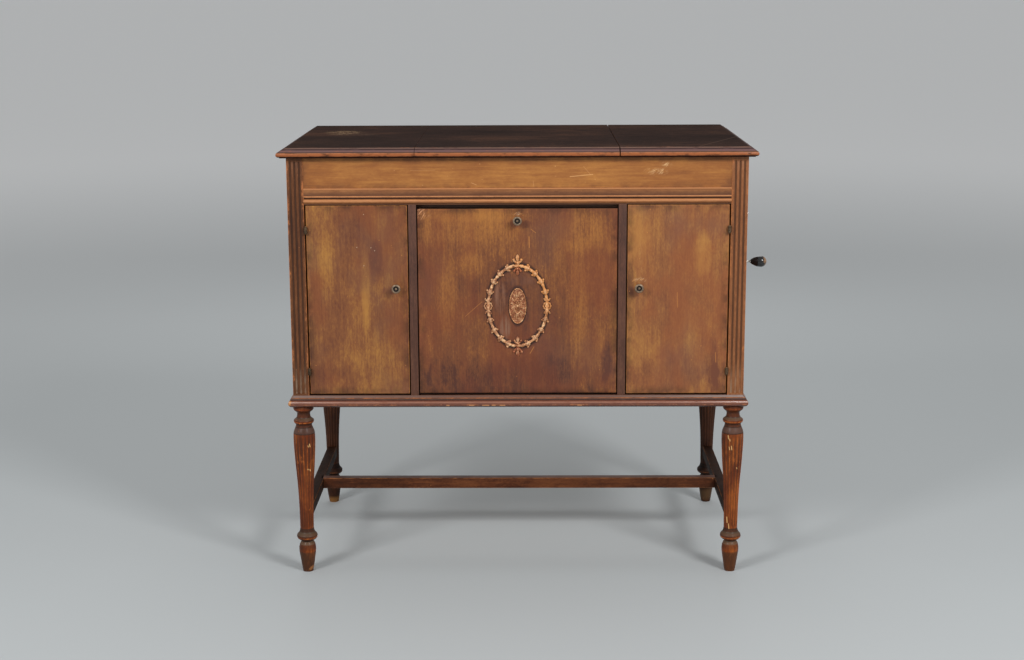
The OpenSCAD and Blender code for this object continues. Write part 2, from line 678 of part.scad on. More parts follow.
// Side stretchers are coped round the legs, with a round tenon into each
module side_stretchers() {
    mid = rail_z + rail_h / 2;
    color([0.36, 0.19, 0.13]) both_x() {
        difference() {
            box([leg_in - rail_w / 2, leg_front_y, rail_z],
                [leg_in + rail_w / 2, leg_back_y, rail_z + rail_h]);
            for (y = [leg_front_y, leg_back_y]) translate([leg_in, y, 0]) turned();
            rod([leg_in - rail_w, cross_y, mid], tenon_d / 2 - 2, rail_w / 2 + 6, "x");
        }
        rod([leg_in, leg_front_y, mid], tenon_d / 2 - 2, leg_r, "y");
        rod([leg_in, leg_back_y - leg_r, mid], tenon_d / 2 - 2, leg_r, "y");
    }
}
module cross_stretcher() {
    in_x = leg_in - rail_w / 2;
    color([0.36, 0.19, 0.13]) {
        box([-in_x, cross_y - rail_w / 2, rail_z], [in_x, cross_y + rail_w / 2, rail_z + rail_h]);
        rod([-in_x - 5, cross_y, rail_z + rail_h / 2], tenon_d / 2 - 2, 2 * in_x + 10, "x");
    }
}

// ---- Crank ----
module crank_escutcheon() {
    color([0.5, 0.42, 0.26]) translate([case_x - panel_in, crank_y, crank_z]) rotate([0, 90, 0])
        difference() {
            union() {
                cylinder(r = 17, h = 2);
                cylinder(r = 9, h = 8);
                translate([0, 0, -side_t]) cylinder(r = shaft_d / 2 + 3.9, h = side_t + 2);
            }
            translate([0, 0, -side_t - 1]) cylinder(r = shaft_d / 2 + run, h = side_t + 12);
        }
}
// Shaft through the right side, offset arm, and the pin that carries the knob
module crank() {
    gear_x = barrel_x + gear_m * crown_t / 2;
    color([0.3, 0.28, 0.26]) {
        rod([gear_x - 3, crank_y, crank_z], shaft_d / 2, crank_x0 + 6 - gear_x + 3, "x");
        rod([crank_x0 - 1, crank_y, crank_z], 8, 8, "x");
        translate([gear_x - 2.5, crank_y, crank_z]) rotate([0, 90, 0])
            gear(pinion_t, 5, shaft_d / 2 - 1, 0);
        difference() {
            box([crank_x0 + 1, crank_y - 6, crank_z - crank_arm], [crank_x0 + 6, crank_y + 6, crank_z]);
            rod([crank_x0, crank_y, crank_z - crank_arm], 2, 8, "x");
        }
        rod([crank_x0 + 1, crank_y, crank_z - crank_arm], 6, 5, "x");
        rod([crank_x0 + 1, crank_y, crank_z - crank_arm], 2, knob_x0 + knob_l - 6 - crank_x0, "x");
        rod([knob_x0 - 1.2, crank_y, crank_z - crank_arm], 3.5, 0.9, "x");
    }
}
// Black egg-shaped grip that turns on its pin
module crank_knob() {
    big = 12;
    color([0.08, 0.07, 0.07]) translate([knob_x0, crank_y, crank_z - crank_arm]) rotate([0, 90, 0])
        rotate_extrude() difference() {
            polygon(concat([[0, 0], [4.5, 0], [6.2, 1.2], [7, 4], [9.2, 10], [11, 16]],
                arc([0, knob_l - big], big, 0, 90, 10)));
            translate([-1, -1]) square([3 + run, knob_l - 3]);
        }
}

// ---- Works ----
// Spur gear with straight-flanked teeth and generous backlash, bored for its shaft
module gear(teeth, thick, bore, turn) {
    r = gear_m * teeth / 2;
    step = 360 / teeth;
    root = r - gear_m * 1.05;
    tip = r + gear_m * 0.75;
    linear_extrude(thick) difference() {
        polygon([for (i = [0 : teeth - 1], c = [[root, -0.29], [tip, -0.1], [tip, 0.1], [root, 0.29]])
            c[0] * [cos(turn + (i + c[1]) * step), sin(turn + (i + c[1]) * step)]]);
        circle(r = bore);
    }
}
// The four places of the screws that hold the motor board down on its battens
module board_screws() {
    for (s = [-1, 1], y = [board_front + screw_in, inner_back - screw_in])
        translate([s * (bay_in - screw_in), y, board_z]) children();
}
module motor_board() {
    color([0.5, 0.36, 0.24]) difference() {
        box([-bay_in + 0.5, board_front, board_under], [bay_in - 0.5, inner_back - 0.5, board_z]);
        rod([spindle_x, spindle_y, board_under - 1], 12, board_t + 2, "z");
        rod([arm_x, arm_y, board_under - 1], 22, board_t + 2, "z");
        rod([brake_x, brake_y, board_under - 1], 3, board_t + 2, "z");
        rod([speed_x, speed_y, board_under - 1], 3, board_t + 2, "z");
        for (x = cup_x) rod([x, cup_y, board_under + 3], cup_r, board_t, "z");
        board_screws() translate([0, 0, -board_t - 1]) cylinder(r = screw_r + glue, h = board_t + 2);
    }
}
// Battens under the motor board and the rail that takes the lid's hinges
module cleats() {
    color([0.5, 0.38, 0.26]) {
        difference() {
            both_x() box([bay_in - 15, board_front, board_under - 18],
                [bay_in, inner_back - 1, board_under]);
            board_screws() translate([0, 0, -board_t - screw_low - glue])
                cylinder(r = screw_r + glue, h = board_t + screw_low + 1);
        }
        box([-bay_in, inner_back - 20, lid_z - 27], [bay_in, inner_back, lid_z]);
    }
}
module turntable() {
    r = table_d / 2;
    color([0.55, 0.55, 0.56]) translate([spindle_x, spindle_y, table_z]) rotate_extrude() polygon(concat(
        [[spindle_r + run, -6], [14, -6], [16, 0], [24, 4], [r - 9, 4], [r - 6, -2]],
        arc([r - 3, 1], 3, -90, 0, 4), [[r, table_t - 2], [r - 1.4, table_t], [spindle_r + run, table_t]]));
}
module turntable_felt() {
    color([0.2, 0.3, 0.16]) translate([spindle_x, spindle_y, table_z + table_t]) linear_extrude(felt_t)
        difference() {
            circle(r = table_d / 2 - 4, $fn = 96);
            circle(r = spindle_r + 1);
        }
}
// Two plates on four pillars, with the bearings of the crank shaft and the governor
module motor_frame() {
    x0 = spindle_x - frame_left;
    x1 = barrel_x + frame_right;
    y0 = spindle_y - frame_front;
    y1 = crank_y + frame_right;
    color([0.3, 0.32, 0.33]) difference() {
        union() {
            box([x0, y0, board_under - plate_t], [x1, y1, board_under]);
            box([x0, y0, frame_low], [x1, y1, frame_low + plate_t]);
            for (x = [x0 + 8, x1 - 6], y = [y0 + 8, y1 - 8])
                rod([x, y, frame_low + 1], 5, board_under - frame_low - 2, "z");
            box([x1 - 9, crank_y - 8, crank_z - 9], [x1 - 1, crank_y + 8, board_under - 1]);
            for (x = [gov_x0 - 6, gov_x1])
                box([x, gov_y - 6, frame_low + 1], [x + 6, gov_y + 6, gov_z + 6]);
        }
        rod([x1 - 10, crank_y, crank_z], shaft_d / 2 + run, 12, "x");
        rod([spindle_x, spindle_y, frame_low + 1], spindle_r + run, board_under - frame_low, "z");
        rod([inter_x, inter_y, frame_low + 1], arbor_r - 1 + run, board_under - frame_low - 1.5, "z");
        rod([barrel_x, crank_y, frame_low + 1], arbor_r - 1 + run, board_under - frame_low - 1.5, "z");
        rod([gov_x0 - 4, gov_y, gov_z], 1.5 + run, gov_x1 - gov_x0 + 8, "x");
    }
}
// Drum of the mainspring with the great wheel on its top
module spring_barrel() {
    color([0.6, 0.52, 0.3]) translate([barrel_x, crank_y, 0]) {
        difference() {
            translate([0, 0, frame_low + 7]) cylinder(r = 35, h = crank_z - 18 - frame_low - 7);
            translate([0, 0, frame_low + 9]) cylinder(r = 33, h = crank_z - 26 - frame_low - 7);
            translate([0, 0, frame_low]) cylinder(r = arbor_r + run, h = 70);
        }
        translate([0, 0, crank_z - 22]) gear(wheel_t, 4, 34, great_turn);
    }
}
// Arbor of the mainspring with its crown wheel, driven by the pinion on the crank shaft
module winding_gear() {
    r = gear_m * crown_t / 2;
    color([0.62, 0.5, 0.3]) translate([barrel_x, crank_y, 0]) {
        translate([0, 0, frame_low + 4]) cylinder(r = arbor_r, h = board_under - plate_t - frame_low - 5);
        translate([0, 0, frame_low + 1.5]) cylinder(r = arbor_r - 1, h = board_under - frame_low - 3);
        translate([0, 0, crank_z - 15]) cylinder(r = r + 3, h = 3.2);
        difference() {
            translate([0, 0, crank_z - 12]) linear_extrude(12 - gear_m * 5.3) difference() {
                circle(r = r + 3);
                circle(r = r - 3);
            }
            for (i = [0 : crown_t - 1]) rotate(360 * i / crown_t)
                translate([r - 5, -gear_m * 1.02, crank_z - 11.8]) cube([10, gear_m * 2.04, 12]);
        }
    }
}
module intermediate_gear() {
    color([0.6, 0.5, 0.3]) translate([inter_x, inter_y, 0]) {
        translate([0, 0, frame_low + 4]) cylinder(r = arbor_r, h = board_under - plate_t - frame_low - 5);
        translate([0, 0, frame_low + 1.5]) cylinder(r = arbor_r - 1, h = board_under - frame_low - 3);
        translate([0, 0, crank_z - 24]) gear(pinion_t, 8, arbor_r - 0.5, inter_turn);
        translate([0, 0, crank_z - 4]) gear(inter_t, 3, arbor_r - 0.5, inter_wheel_turn);
    }
}
module spindle() {
    color([0.6, 0.6, 0.6]) translate([spindle_x, spindle_y, 0]) {
        translate([0, 0, frame_low + 1.2])
            cylinder(r = spindle_r, h = table_z + table_t + felt_t - frame_low - 1.2);
        translate([0, 0, table_z + table_t]) cylinder(r = record_pin_r, h = felt_t + pin_up);
        translate([0, 0, table_z + table_t + felt_t + pin_up]) sphere(r = record_pin_r);
        translate([0, 0, table_z - 9]) cylinder(r = 8, h = 3);
        translate([0, 0, crank_z - 6]) gear(pinion_t, 7, spindle_r - 0.5, spindle_turn);
        translate([0, 0, gov_z - 3]) linear_extrude(6) difference() {
            circle(r = gov_wheel, $fn = 96);
            circle(r = spindle_r - 0.5);
            for (k = [0 : 5]) rotate(60 * k) translate([gov_wheel * 0.6, 0]) circle(r = 3.6);
        }
    }
}
// Centrifugal governor: worm, sliding disc, two collars and three weights on leaf springs
module governor() {
    l = gov_x1 - gov_x0;
    color([0.55, 0.5, 0.4]) {
        rod([gov_x0 - 3, gov_y, gov_z], 1.5, l + 6, "x");
        rod([gov_x1 - 18, gov_y, gov_z], gov_worm, 14, "x");
        for (x = [gov_x0 + 3, gov_x0 + 38]) rod([x, gov_y, gov_z], 5, 5, "x");
        rod([gov_x0 + 43, gov_y, gov_z], 14, 2, "x");
        for (k = [0 : 2]) translate([gov_x0 + 5.5, gov_y, gov_z]) rotate([120 * k, 0, 0]) {
            translate([0, -2.5, 4.4]) cube([35, 5, 0.8]);
            translate([17.5, 0, 8.6]) sphere(r = 4.4);
        }
    }
}

// ---- Playing parts ----
module tone_arm_base() {
    color([0.55, 0.46, 0.28]) translate([arm_x, arm_y, board_z]) rotate_extrude()
        polygon([[16 + run, -4], [21, -4], [21, 0], [30, 0], [30, 2], [27, 4], [23.5, 6], [22, 16],
            [24, 18], [24, 21], [16 + run, 21]]);
}
// Hollow arm: a swivel post, an elbow, a tapered tube and a socket for the sound box
module tone_arm() {
    rise = arm_z - board_z;
    color([0.6, 0.5, 0.3]) translate([arm_x, arm_y, board_z]) rotate(arm_rest) {
        difference() {
            union() {
                translate([0, 0, -2]) cylinder(r = 16, h = 24);
                translate([0, 0, 21.6]) cylinder(r = 20, h = 3);
                translate([0, 0, 22]) cylinder(r = 15, h = rise - 22);
                translate([0, 0, rise]) sphere(r = 15.4);
                translate([0, 0, rise]) rotate([90, 0, 0])
                    cylinder(r1 = 14, r2 = tube_r + 2, h = arm_l - 14);
                translate([0, 14 - arm_l, rise]) rotate([90, 0, 0]) cylinder(r = tube_r + 3.4, h = 14);
            }
            translate([0, 0, -3]) cylinder(r = 11, h = rise + 3);
            translate([0, 0, rise]) rotate([90, 0, 0]) cylinder(r1 = 11, r2 = tube_r - 1.5, h = arm_l - 14);
            translate([0, 15 - arm_l, rise]) rotate([90, 0, 0]) cylinder(r = tube_r + run, h = 20);
        }
    }
}
// Round reproducer on a bent neck that turns in the arm's socket
module sound_box() {
    color([0.55, 0.55, 0.55]) translate([arm_x, arm_y, arm_z]) rotate(arm_rest) translate([0, -arm_l, 0]) {
        translate([0, 13, 0]) rotate([90, 0, 0]) cylinder(r = tube_r, h = 15);
        translate([0, -1.5, 0]) rotate([90, 0, 0]) cylinder(r = tube_r + 2, h = neck_y - 1.5);
        translate([0, -neck_y, 0]) sphere(r = tube_r + 2);
        translate([-box_off - 12, -neck_y, 0]) rotate([0, 90, 0]) rotate_extrude()
            polygon([[0, 2], [4, 2], [5, 3.2], [box_r - 6, 3.2], [box_r - 5, 1], [box_r - 1.5, 0],
                [box_r, 1.5], [box_r, 11], [box_r - 1.5, 12.5], [12, 13.5], [0, 13.5]]);
        translate([-box_off - 5, -neck_y, -box_r + 1]) rotate([180, 0, 0]) {
            cylinder(r = 2.6, h = 5);
            cylinder(r1 = 0.9, r2 = 0.3, h = 12);
        }
    }
}
module brake_lever() {
    color([0.5, 0.44, 0.3]) translate([brake_x, brake_y, 0]) {
        rod([0, 0, board_under - 4], 3 - run, board_t + 18, "z");
        rod([0, 0, board_z + 0.4], 8, 4, "z");
        rotate(brake_way) {
            box([-20, -4, board_z + 12], [0, 4, board_z + 15]);
            rod([-20, 0, board_z + 11], 3.6, 12, "z");
            box([0, -3, board_z + 12], [24, 3, board_z + 15]);
            rod([24, 0, board_z + 12], 5, 4, "z");
        }
        rod([0, 0, board_z + 11.5], 6, 4, "z");
    }
}
module speed_regulator() {
    reach = [gov_x0 + 48.5 - speed_x, gov_y - speed_y];
    color([0.5, 0.44, 0.3]) translate([speed_x, speed_y, 0]) {
        rod([0, 0, crank_z + 12], 3 - run, board_z + 5 - crank_z - 12, "z");
        rod([0, 0, board_z + 0.4], 11, 3, "z");
        rod([0, 0, board_z + 3], 6, 7, "z");
        translate([0, 0, board_z + 3.4]) rotate(-120) box([0, -2, 0], [17, 2, 3]);
        rod([0, 0, crank_z + 12], 6, 4, "z");
        translate([0, 0, crank_z + 12]) rotate(atan2(reach[1], reach[0]))
            box([0, -3, 0], [norm(reach), 3, 4]);
        rod([reach[0], reach[1], gov_z + 6.5], 2.5, crank_z + 14 - gov_z - 6.5, "z");
        rod([reach[0] - 3, reach[1], gov_z + 9], 3, 5.5, "x");
    }
}
module needle_cups() {
    color([0.55, 0.5, 0.36]) for (x = cup_x) translate([x, cup_y, board_under + 3]) rotate_extrude()
        polygon([[0, 0], [cup_r - 1, 0], [cup_r, 1], [cup_r, board_t - 3], [cup_r + 3, board_t - 3],
            [cup_r + 3, board_t - 1.6], [cup_r - 1.4, board_t - 1.6], [cup_r - 3, 3], [0, 2]]);
}

// ---- Horn and storage ----
// The horn narrows in plan and in height from the grille to the throat, behind the right of the bay
module horn_slope(drop) {
    along_x(-bay_w, bay_w) polygon([[horn_y0, floor_z], [horn_y1, floor_z], [horn_y1, throat_z - drop],
        [horn_y0, horn_top - drop]]);
}
module horn_wedge(in) {
    linear_extrude(horn_top + 1) polygon([[-bay_in + in, horn_y0], [bay_in - in, horn_y0],
        [arm_x + throat_w - in, horn_y1], [arm_x - throat_w + in, horn_y1]]);
}
module horn_boards() {
    board = horn_t + 0.5;
    color([0.58, 0.44, 0.3]) {
        difference() {
            intersection() {
                horn_slope(0);
                horn_wedge(0.5);
            }
            horn_wedge(board);
        }
        difference() {
            intersection() {
                horn_slope(0);
                horn_wedge(board + glue);
            }
            horn_slope(horn_t * 1.2);
        }
        intersection() {
            box([-bay_w, horn_y0, floor_z], [bay_w, horn_y1, floor_z + horn_t]);
            horn_wedge(board + glue);
        }
        difference() {
            box([arm_x - throat_w, horn_y1 + glue, floor_z], [arm_x + throat_w, horn_y1 + 15, throat_z]);
            rod([arm_x, horn_y1 - 1, throat_z - 36], elbow_r - 2, 17, "y");
        }
    }
}
// Cast pipe from the tone arm's base down and forward into the horn's throat
module elbow_run(r) {
    bend = 30;
    drop = throat_z - 36;
    rod([arm_x, horn_y1 + 15 + elbow_in + bend, drop + bend], r, board_under - drop - bend, "z");
    translate([arm_x, horn_y1 + 15 + elbow_in, drop + bend]) rotate([0, 90, 0])
        rotate_extrude(angle = 90) translate([bend, 0]) circle(r = r);
    rod([arm_x, horn_y1 + 15, drop], r, elbow_in, "y");
}
module horn_elbow() {
    color([0.2, 0.2, 0.2]) {
        difference() {
            union() {
                elbow_run(elbow_r);
                rod([arm_x, arm_y, board_under - 3], elbow_r + 10, 3, "z");
            }
            elbow_run(elbow_r - 3);
            rod([arm_x, arm_y, board_under - 5], elbow_r - 3, 8, "z");
            rod([arm_x, horn_y1 + 10, throat_z - 36], elbow_r - 3, 8, "y");
        }
    }
}
// Fretted board in front of the horn: two rows of upright slots with round ends
module grille() {
    cols = 9;
    pitch = (2 * grille_x - 44) / cols;
    slot = pitch * 0.62;
    rows = 2;
    row_h = (head_z - floor_z - 60) / rows;
    color([0.46, 0.3, 0.2]) difference() {
        box([-grille_x, grille_y, floor_z], [grille_x, grille_y + grille_t, head_z]);
        for (i = [0 : cols - 1], j = [0 : rows - 1]) {
            x = (i - (cols - 1) / 2) * pitch;
            z0 = floor_z + 26 + j * (row_h + 8);
            box([x - slot / 2, grille_y - 1, z0 + slot / 2],
                [x + slot / 2, grille_y + grille_t + 1, z0 + row_h - slot / 2]);
            for (z = [z0 + slot / 2, z0 + row_h - slot / 2])
                rod([x, grille_y - 1, z], slot / 2, grille_t + 2, "y");
        }
    }
}
// Shelf under the crank shaft and thin upright dividers for albums, in both compartments
module record_racks() {
    x0 = bay_in + board_t;
    step = (panel_x - x0) / rack_slots;
    shelf = crank_z - 12;
    color([0.55, 0.42, 0.28]) both_x() {
        box([x0, case_y + post_w + 6, shelf - 10], [panel_x, back_y - post_w - 2, shelf]);
        for (i = [1 : rack_slots - 1]) box([x0 + i * step - 2, case_y + post_w + 16, floor_z],
            [x0 + i * step + 2, back_y - post_w - 12, shelf - 10 - glue]);
    }
}
// Round-headed wood screws with a cross-cut slot: motor board and back panel
module screw(l) {
    difference() {
        union() {
            rotate_extrude() polygon(concat([[0, 0], [4.2, 0]], arc([0, -1.2], 4.6, 18, 90, 5), [[0, 3.4]]));
            translate([0, 0, -l]) cylinder(r = screw_r, h = l + 0.5);
        }
        translate([-5, -0.5, 2]) cube([10, 1, 3]);
    }
}
module screws() {
    color([0.5, 0.42, 0.25]) {
        board_screws() screw(board_t + screw_low);
        for (s = [-1, 1], z = back_screw_z)
            translate([s * (post_in - back_screw_in), back_y, z]) rotate([-90, 0, 0]) screw(back_screw_l);
    }
}

placed() left_top();
placed() right_top();
placed() lid();
placed() lid_fixed_fittings();
placed() lid_hinge_moving();
placed() lid_stay();
placed() frieze_board();
placed() head_moulding();
placed() front_left_post();
placed() front_right_post();
placed() rear_posts();
placed() left_side_panel();
placed() right_side_panel();
placed() back_panel();
placed() bottom_board();
placed() base_frame();
placed() stiles();
placed() left_partition();
placed() right_partition();
placed() left_door();
placed() right_door();
placed() drop_front();
placed() left_knob();
placed() right_knob();
placed() drop_front_knob();
placed() front_hinge_fixed();
placed() left_door_hinges();
placed() right_door_hinges();
placed() wreath();
placed() patera();
placed() front_left_leg();
placed() front_right_leg();
placed() rear_left_leg();
placed() rear_right_leg();
placed() side_stretchers();
placed() cross_stretcher();
placed() crank_escutcheon();
placed() crank();
placed() crank_knob();
placed() motor_board();
placed() cleats();
placed() turntable();
placed() turntable_felt();
placed() motor_frame();
placed() spring_barrel();
placed() winding_gear();
placed() intermediate_gear();
placed() spindle();
placed() governor();
placed() tone_arm_base();
placed() tone_arm();
placed() sound_box();
placed() brake_lever();
placed() speed_regulator();
placed() needle_cups();
placed() horn_boards();
placed() horn_elbow();
placed() grille();
placed() record_racks();
placed() screws();
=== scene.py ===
import math

import bpy
import bmesh
from mathutils import Matrix, Vector


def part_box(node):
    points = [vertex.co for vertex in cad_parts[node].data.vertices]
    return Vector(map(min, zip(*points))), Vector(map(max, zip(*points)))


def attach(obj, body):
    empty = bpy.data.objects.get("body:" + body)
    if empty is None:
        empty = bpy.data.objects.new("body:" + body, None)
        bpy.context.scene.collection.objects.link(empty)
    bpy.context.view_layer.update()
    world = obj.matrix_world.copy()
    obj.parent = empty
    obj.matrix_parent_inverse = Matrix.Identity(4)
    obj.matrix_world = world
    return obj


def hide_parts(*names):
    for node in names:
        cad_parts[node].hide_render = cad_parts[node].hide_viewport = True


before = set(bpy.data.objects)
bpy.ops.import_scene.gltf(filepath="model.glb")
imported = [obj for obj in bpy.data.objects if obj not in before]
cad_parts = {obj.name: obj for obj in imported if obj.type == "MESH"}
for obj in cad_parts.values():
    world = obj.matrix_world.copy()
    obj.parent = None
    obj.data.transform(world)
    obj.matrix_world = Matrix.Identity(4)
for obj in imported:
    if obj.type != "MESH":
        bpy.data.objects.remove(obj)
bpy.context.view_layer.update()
MM = 0.001


def paint(r, g, b):
    """A colour written as it is seen, 0 to 255, made linear."""
    seen = (r / 255, g / 255, b / 255)
    return tuple(c / 12.92 if c <= 0.04045 else ((c + 0.055) / 1.055) ** 2.4 for c in seen) + (1.0,)


def added(name, data):
    """A new object in the scene."""
    made = bpy.data.objects.new(name, data)
    bpy.context.scene.collection.objects.link(made)
    return made


def solved(piece):
    """The mesh that a piece's modifiers make of it."""
    bpy.context.view_layer.update()
    return bpy.data.meshes.new_from_object(piece.evaluated_get(bpy.context.evaluated_depsgraph_get()))


# ---------------------------------------------------------------- shader nets
class Wire:
    """A socket or number in a finish's net, with arithmetic that adds Math nodes."""

    def __init__(self, net, value):
        self.net = net
        self.value = value

    def _do(self, how, *others, clamp=False):
        return self.net.node("ShaderNodeMath", {"operation": how, "use_clamp": clamp}, [self, *others])

    def __add__(self, other):
        return self._do("ADD", other)

    def __radd__(self, other):
        return self._do("ADD", other)

    def __sub__(self, other):
        return self._do("SUBTRACT", other)

    def __rsub__(self, other):
        return self.net.node("ShaderNodeMath", {"operation": "SUBTRACT"}, [other, self])

    def __mul__(self, other):
        return self._do("MULTIPLY", other)

    def __rmul__(self, other):
        return self._do("MULTIPLY", other)

    def __truediv__(self, other):
        return self._do("DIVIDE", other)

    def __pow__(self, other):
        return self._do("POWER", other)

    def low(self, other):
        return self._do("MINIMUM", other)

    def high(self, other):
        return self._do("MAXIMUM", other)

    def size(self):
        """The value without its sign."""
        return self._do("ABSOLUTE", 0.0)

    def held(self):
        """The value kept between 0 and 1."""
        return self._do("ADD", 0.0, clamp=True)

    def step(self, start, end):
        """0 below start and 1 past end, with soft ends; start may lie above end."""
        if start > end:
            return 1.0 - self.step(end, start)
        return self.net.node("ShaderNodeMapRange", {"interpolation_type": "SMOOTHSTEP"}, [self, start, end])


class Net:
    """A node tree and the one way of adding a node to it."""

    def __init__(self, tree):
        self.tree = tree

    def node(self, kind, settings=None, sockets=(), out=0):
        """A new node with its settings and its inputs by place or name, as the wire of one output."""
        made = self.tree.nodes.new(kind)
        for key, value in (settings or {}).items():
            if key == "stops":
                ramp = made.color_ramp
                while len(ramp.elements) < len(value):
                    ramp.elements.new(0.5)
                for stop, (at, colour) in zip(ramp.elements, value):
                    stop.position = at
                    stop.color = colour
            else:
                setattr(made, key, value)
        for key, value in sockets.items() if isinstance(sockets, dict) else enumerate(sockets):
            if isinstance(value, Wire):
                self.tree.links.new(value.value, made.inputs[key])
            else:
                made.inputs[key].default_value = value
        return Wire(self, made.outputs[out])


class Finish(Net):
    """The node net of one material."""

    def __init__(self, name):
        self.material = bpy.data.materials.new(name)
        self.material.use_nodes = True
        super().__init__(self.material.node_tree)
        self.tree.nodes.clear()
        end = self.tree.nodes.new("ShaderNodeOutputMaterial")
        self.shader = self.tree.nodes.new("ShaderNodeBsdfPrincipled")
        self.tree.links.new(self.shader.outputs[0], end.inputs[0])
        self.place = self.node("ShaderNodeTexCoord", out="Object")

    def set(self, **values):
        """Gives the shader's sockets, named in lower case, a number, a colour or a wire."""
        for key, value in values.items():
            socket = self.shader.inputs[key.replace("_", " ").title().replace("Ior", "IOR")]
            if isinstance(value, Wire):
                self.tree.links.new(value.value, socket)
            else:
                socket.default_value = value

    def stretch(self, scale, shift=(0, 0, 0)):
        """Object coordinates scaled and moved."""
        return self.node("ShaderNodeMapping", {}, {0: self.place, 1: shift, 3: scale})

    def noise(self, at, scale, detail=2.0, rough=0.5, bend=0.0):
        return self.node("ShaderNodeTexNoise", {}, {
            "Vector": at, "Scale": scale, "Detail": detail, "Roughness": rough, "Distortion": bend})

    def cells(self, at, scale):
        return self.node("ShaderNodeTexVoronoi", {}, {"Vector": at, "Scale": scale}, out="Distance")

    def axis(self, letter):
        return self.node("ShaderNodeSeparateXYZ", {}, [self.place], out="xyz".index(letter))

    def mark(self, name):
        """A mark stored on the mesh, 0 where it has none."""
        return self.node("ShaderNodeAttribute", {"attribute_name": name}, out="Fac")

    def ramp(self, value, *stops):
        """Colours along a value; each stop has a place and a colour as it is seen."""
        return self.node("ShaderNodeValToRGB", {"stops": [(at, paint(*colour)) for at, colour in stops]}, [value])

    def blend(self, share, first, second):
        """A mix of two colours, each a wire or red, green and blue as they are seen, 0 to 255."""
        first, second = (colour if isinstance(colour, Wire) else paint(*colour) for colour in (first, second))
        return self.node("ShaderNodeMix", {"data_type": "RGBA"}, {0: share, 6: first, 7: second}, out=2)

    def bump(self, height, strength, depth):
        bumped = self.node("ShaderNodeBump", {}, {"Strength": strength, "Distance": depth, "Height": height})
        self.set(normal=bumped)

    def dash(self, first, last, across, plane):
        """A mark along a straight line on a face, 1 on the line and 0 at the given distance."""
        u, v = self.axis(plane[0]), self.axis(plane[1])
        du, dv = last[0] - first[0], last[1] - first[1]
        span = math.hypot(du, dv)
        du, dv = du / span, dv / span
        run = (u - first[0]) * du + (v - first[1]) * dv
        off = ((u - first[0]) * dv - (v - first[1]) * du).size()
        past = (run - span / 2).size() - span / 2
        return off.step(across, across * 0.3) * past.step(across, 0.0)


class Pattern(Net):
    """A Geometry Nodes tree with named sizes, which is applied to a base mesh."""

    def __init__(self, name, finish, **sizes):
        super().__init__(bpy.data.node_groups.new(name, "GeometryNodeTree"))
        self.given = {key.replace("_", " ").capitalize(): value for key, value in sizes.items()}
        self.given["Finish"] = finish
        kinds = {bpy.types.Object: "Object", bpy.types.Material: "Material", int: "Int", tuple: "Vector"}
        face = self.tree.interface
        face.new_socket("Geometry", in_out="OUTPUT", socket_type="NodeSocketGeometry")
        face.new_socket("Geometry", in_out="INPUT", socket_type="NodeSocketGeometry")
        for key, value in self.given.items():
            face.new_socket(key, in_out="INPUT", socket_type="NodeSocket" + kinds.get(type(value), "Float"))
        self.start = self.tree.nodes.new("NodeGroupInput")

    def size(self, name):
        """One of the tree's named inputs."""
        return Wire(self, self.start.outputs[name])

    def vector(self, x, y, z):
        return self.node("ShaderNodeCombineXYZ", {}, [x, y, z])

    def parts(self, vector):
        return [self.node("ShaderNodeSeparateXYZ", {}, [vector], out=k) for k in range(3)]

    def angle(self, up, across):
        return self.node("ShaderNodeMath", {"operation": "ARCTAN2"}, [up, across])

    def calc(self, how, value):
        return self.node("ShaderNodeMath", {"operation": how}, [value])

    def solid(self, name):
        """The geometry of the object behind a named input."""
        return self.node("GeometryNodeObjectInfo", {}, {"Object": self.size(name)}, out="Geometry")

    def laid(self, piece, count, spot, turn, scale=(1, 1, 1)):
        """Copies of a piece on points, each turned by its own angles and scaled."""
        points = self.node("GeometryNodePoints", {}, {"Count": count, "Position": spot})
        turned = self.node("FunctionNodeEulerToRotation", {}, [turn])
        return self.node("GeometryNodeInstanceOnPoints", {}, {
            "Points": points, "Instance": piece, "Rotation": turned, "Scale": scale})

    def applied(self, last, base, name):
        """The plain mesh that the tree makes of the base; the loose objects that it repeated go."""
        both = self.tree.nodes.new("GeometryNodeJoinGeometry")
        self.tree.links.new(self.size("Geometry").value, both.inputs[0])
        self.tree.links.new(last.value, both.inputs[0])
        real = self.node("GeometryNodeRealizeInstances", {}, [Wire(self, both.outputs[0])])
        ended = self.node("GeometryNodeSetMaterial", {}, {"Geometry": real, "Material": self.size("Finish")})
        self.tree.links.new(ended.value, self.tree.nodes.new("NodeGroupOutput").inputs[0])
        holder = added(name, base)
        maker = holder.modifiers.new(name, "NODES")
        maker.node_group = self.tree
        for socket in self.tree.interface.items_tree:
            if socket.in_out == "INPUT" and socket.name in self.given:
                maker[socket.identifier] = self.given[socket.name]
        mesh = solved(holder)
        for spent in [holder] + [given for given in self.given.values() if isinstance(given, bpy.types.Object)]:
            bpy.data.objects.remove(spent)
        return mesh


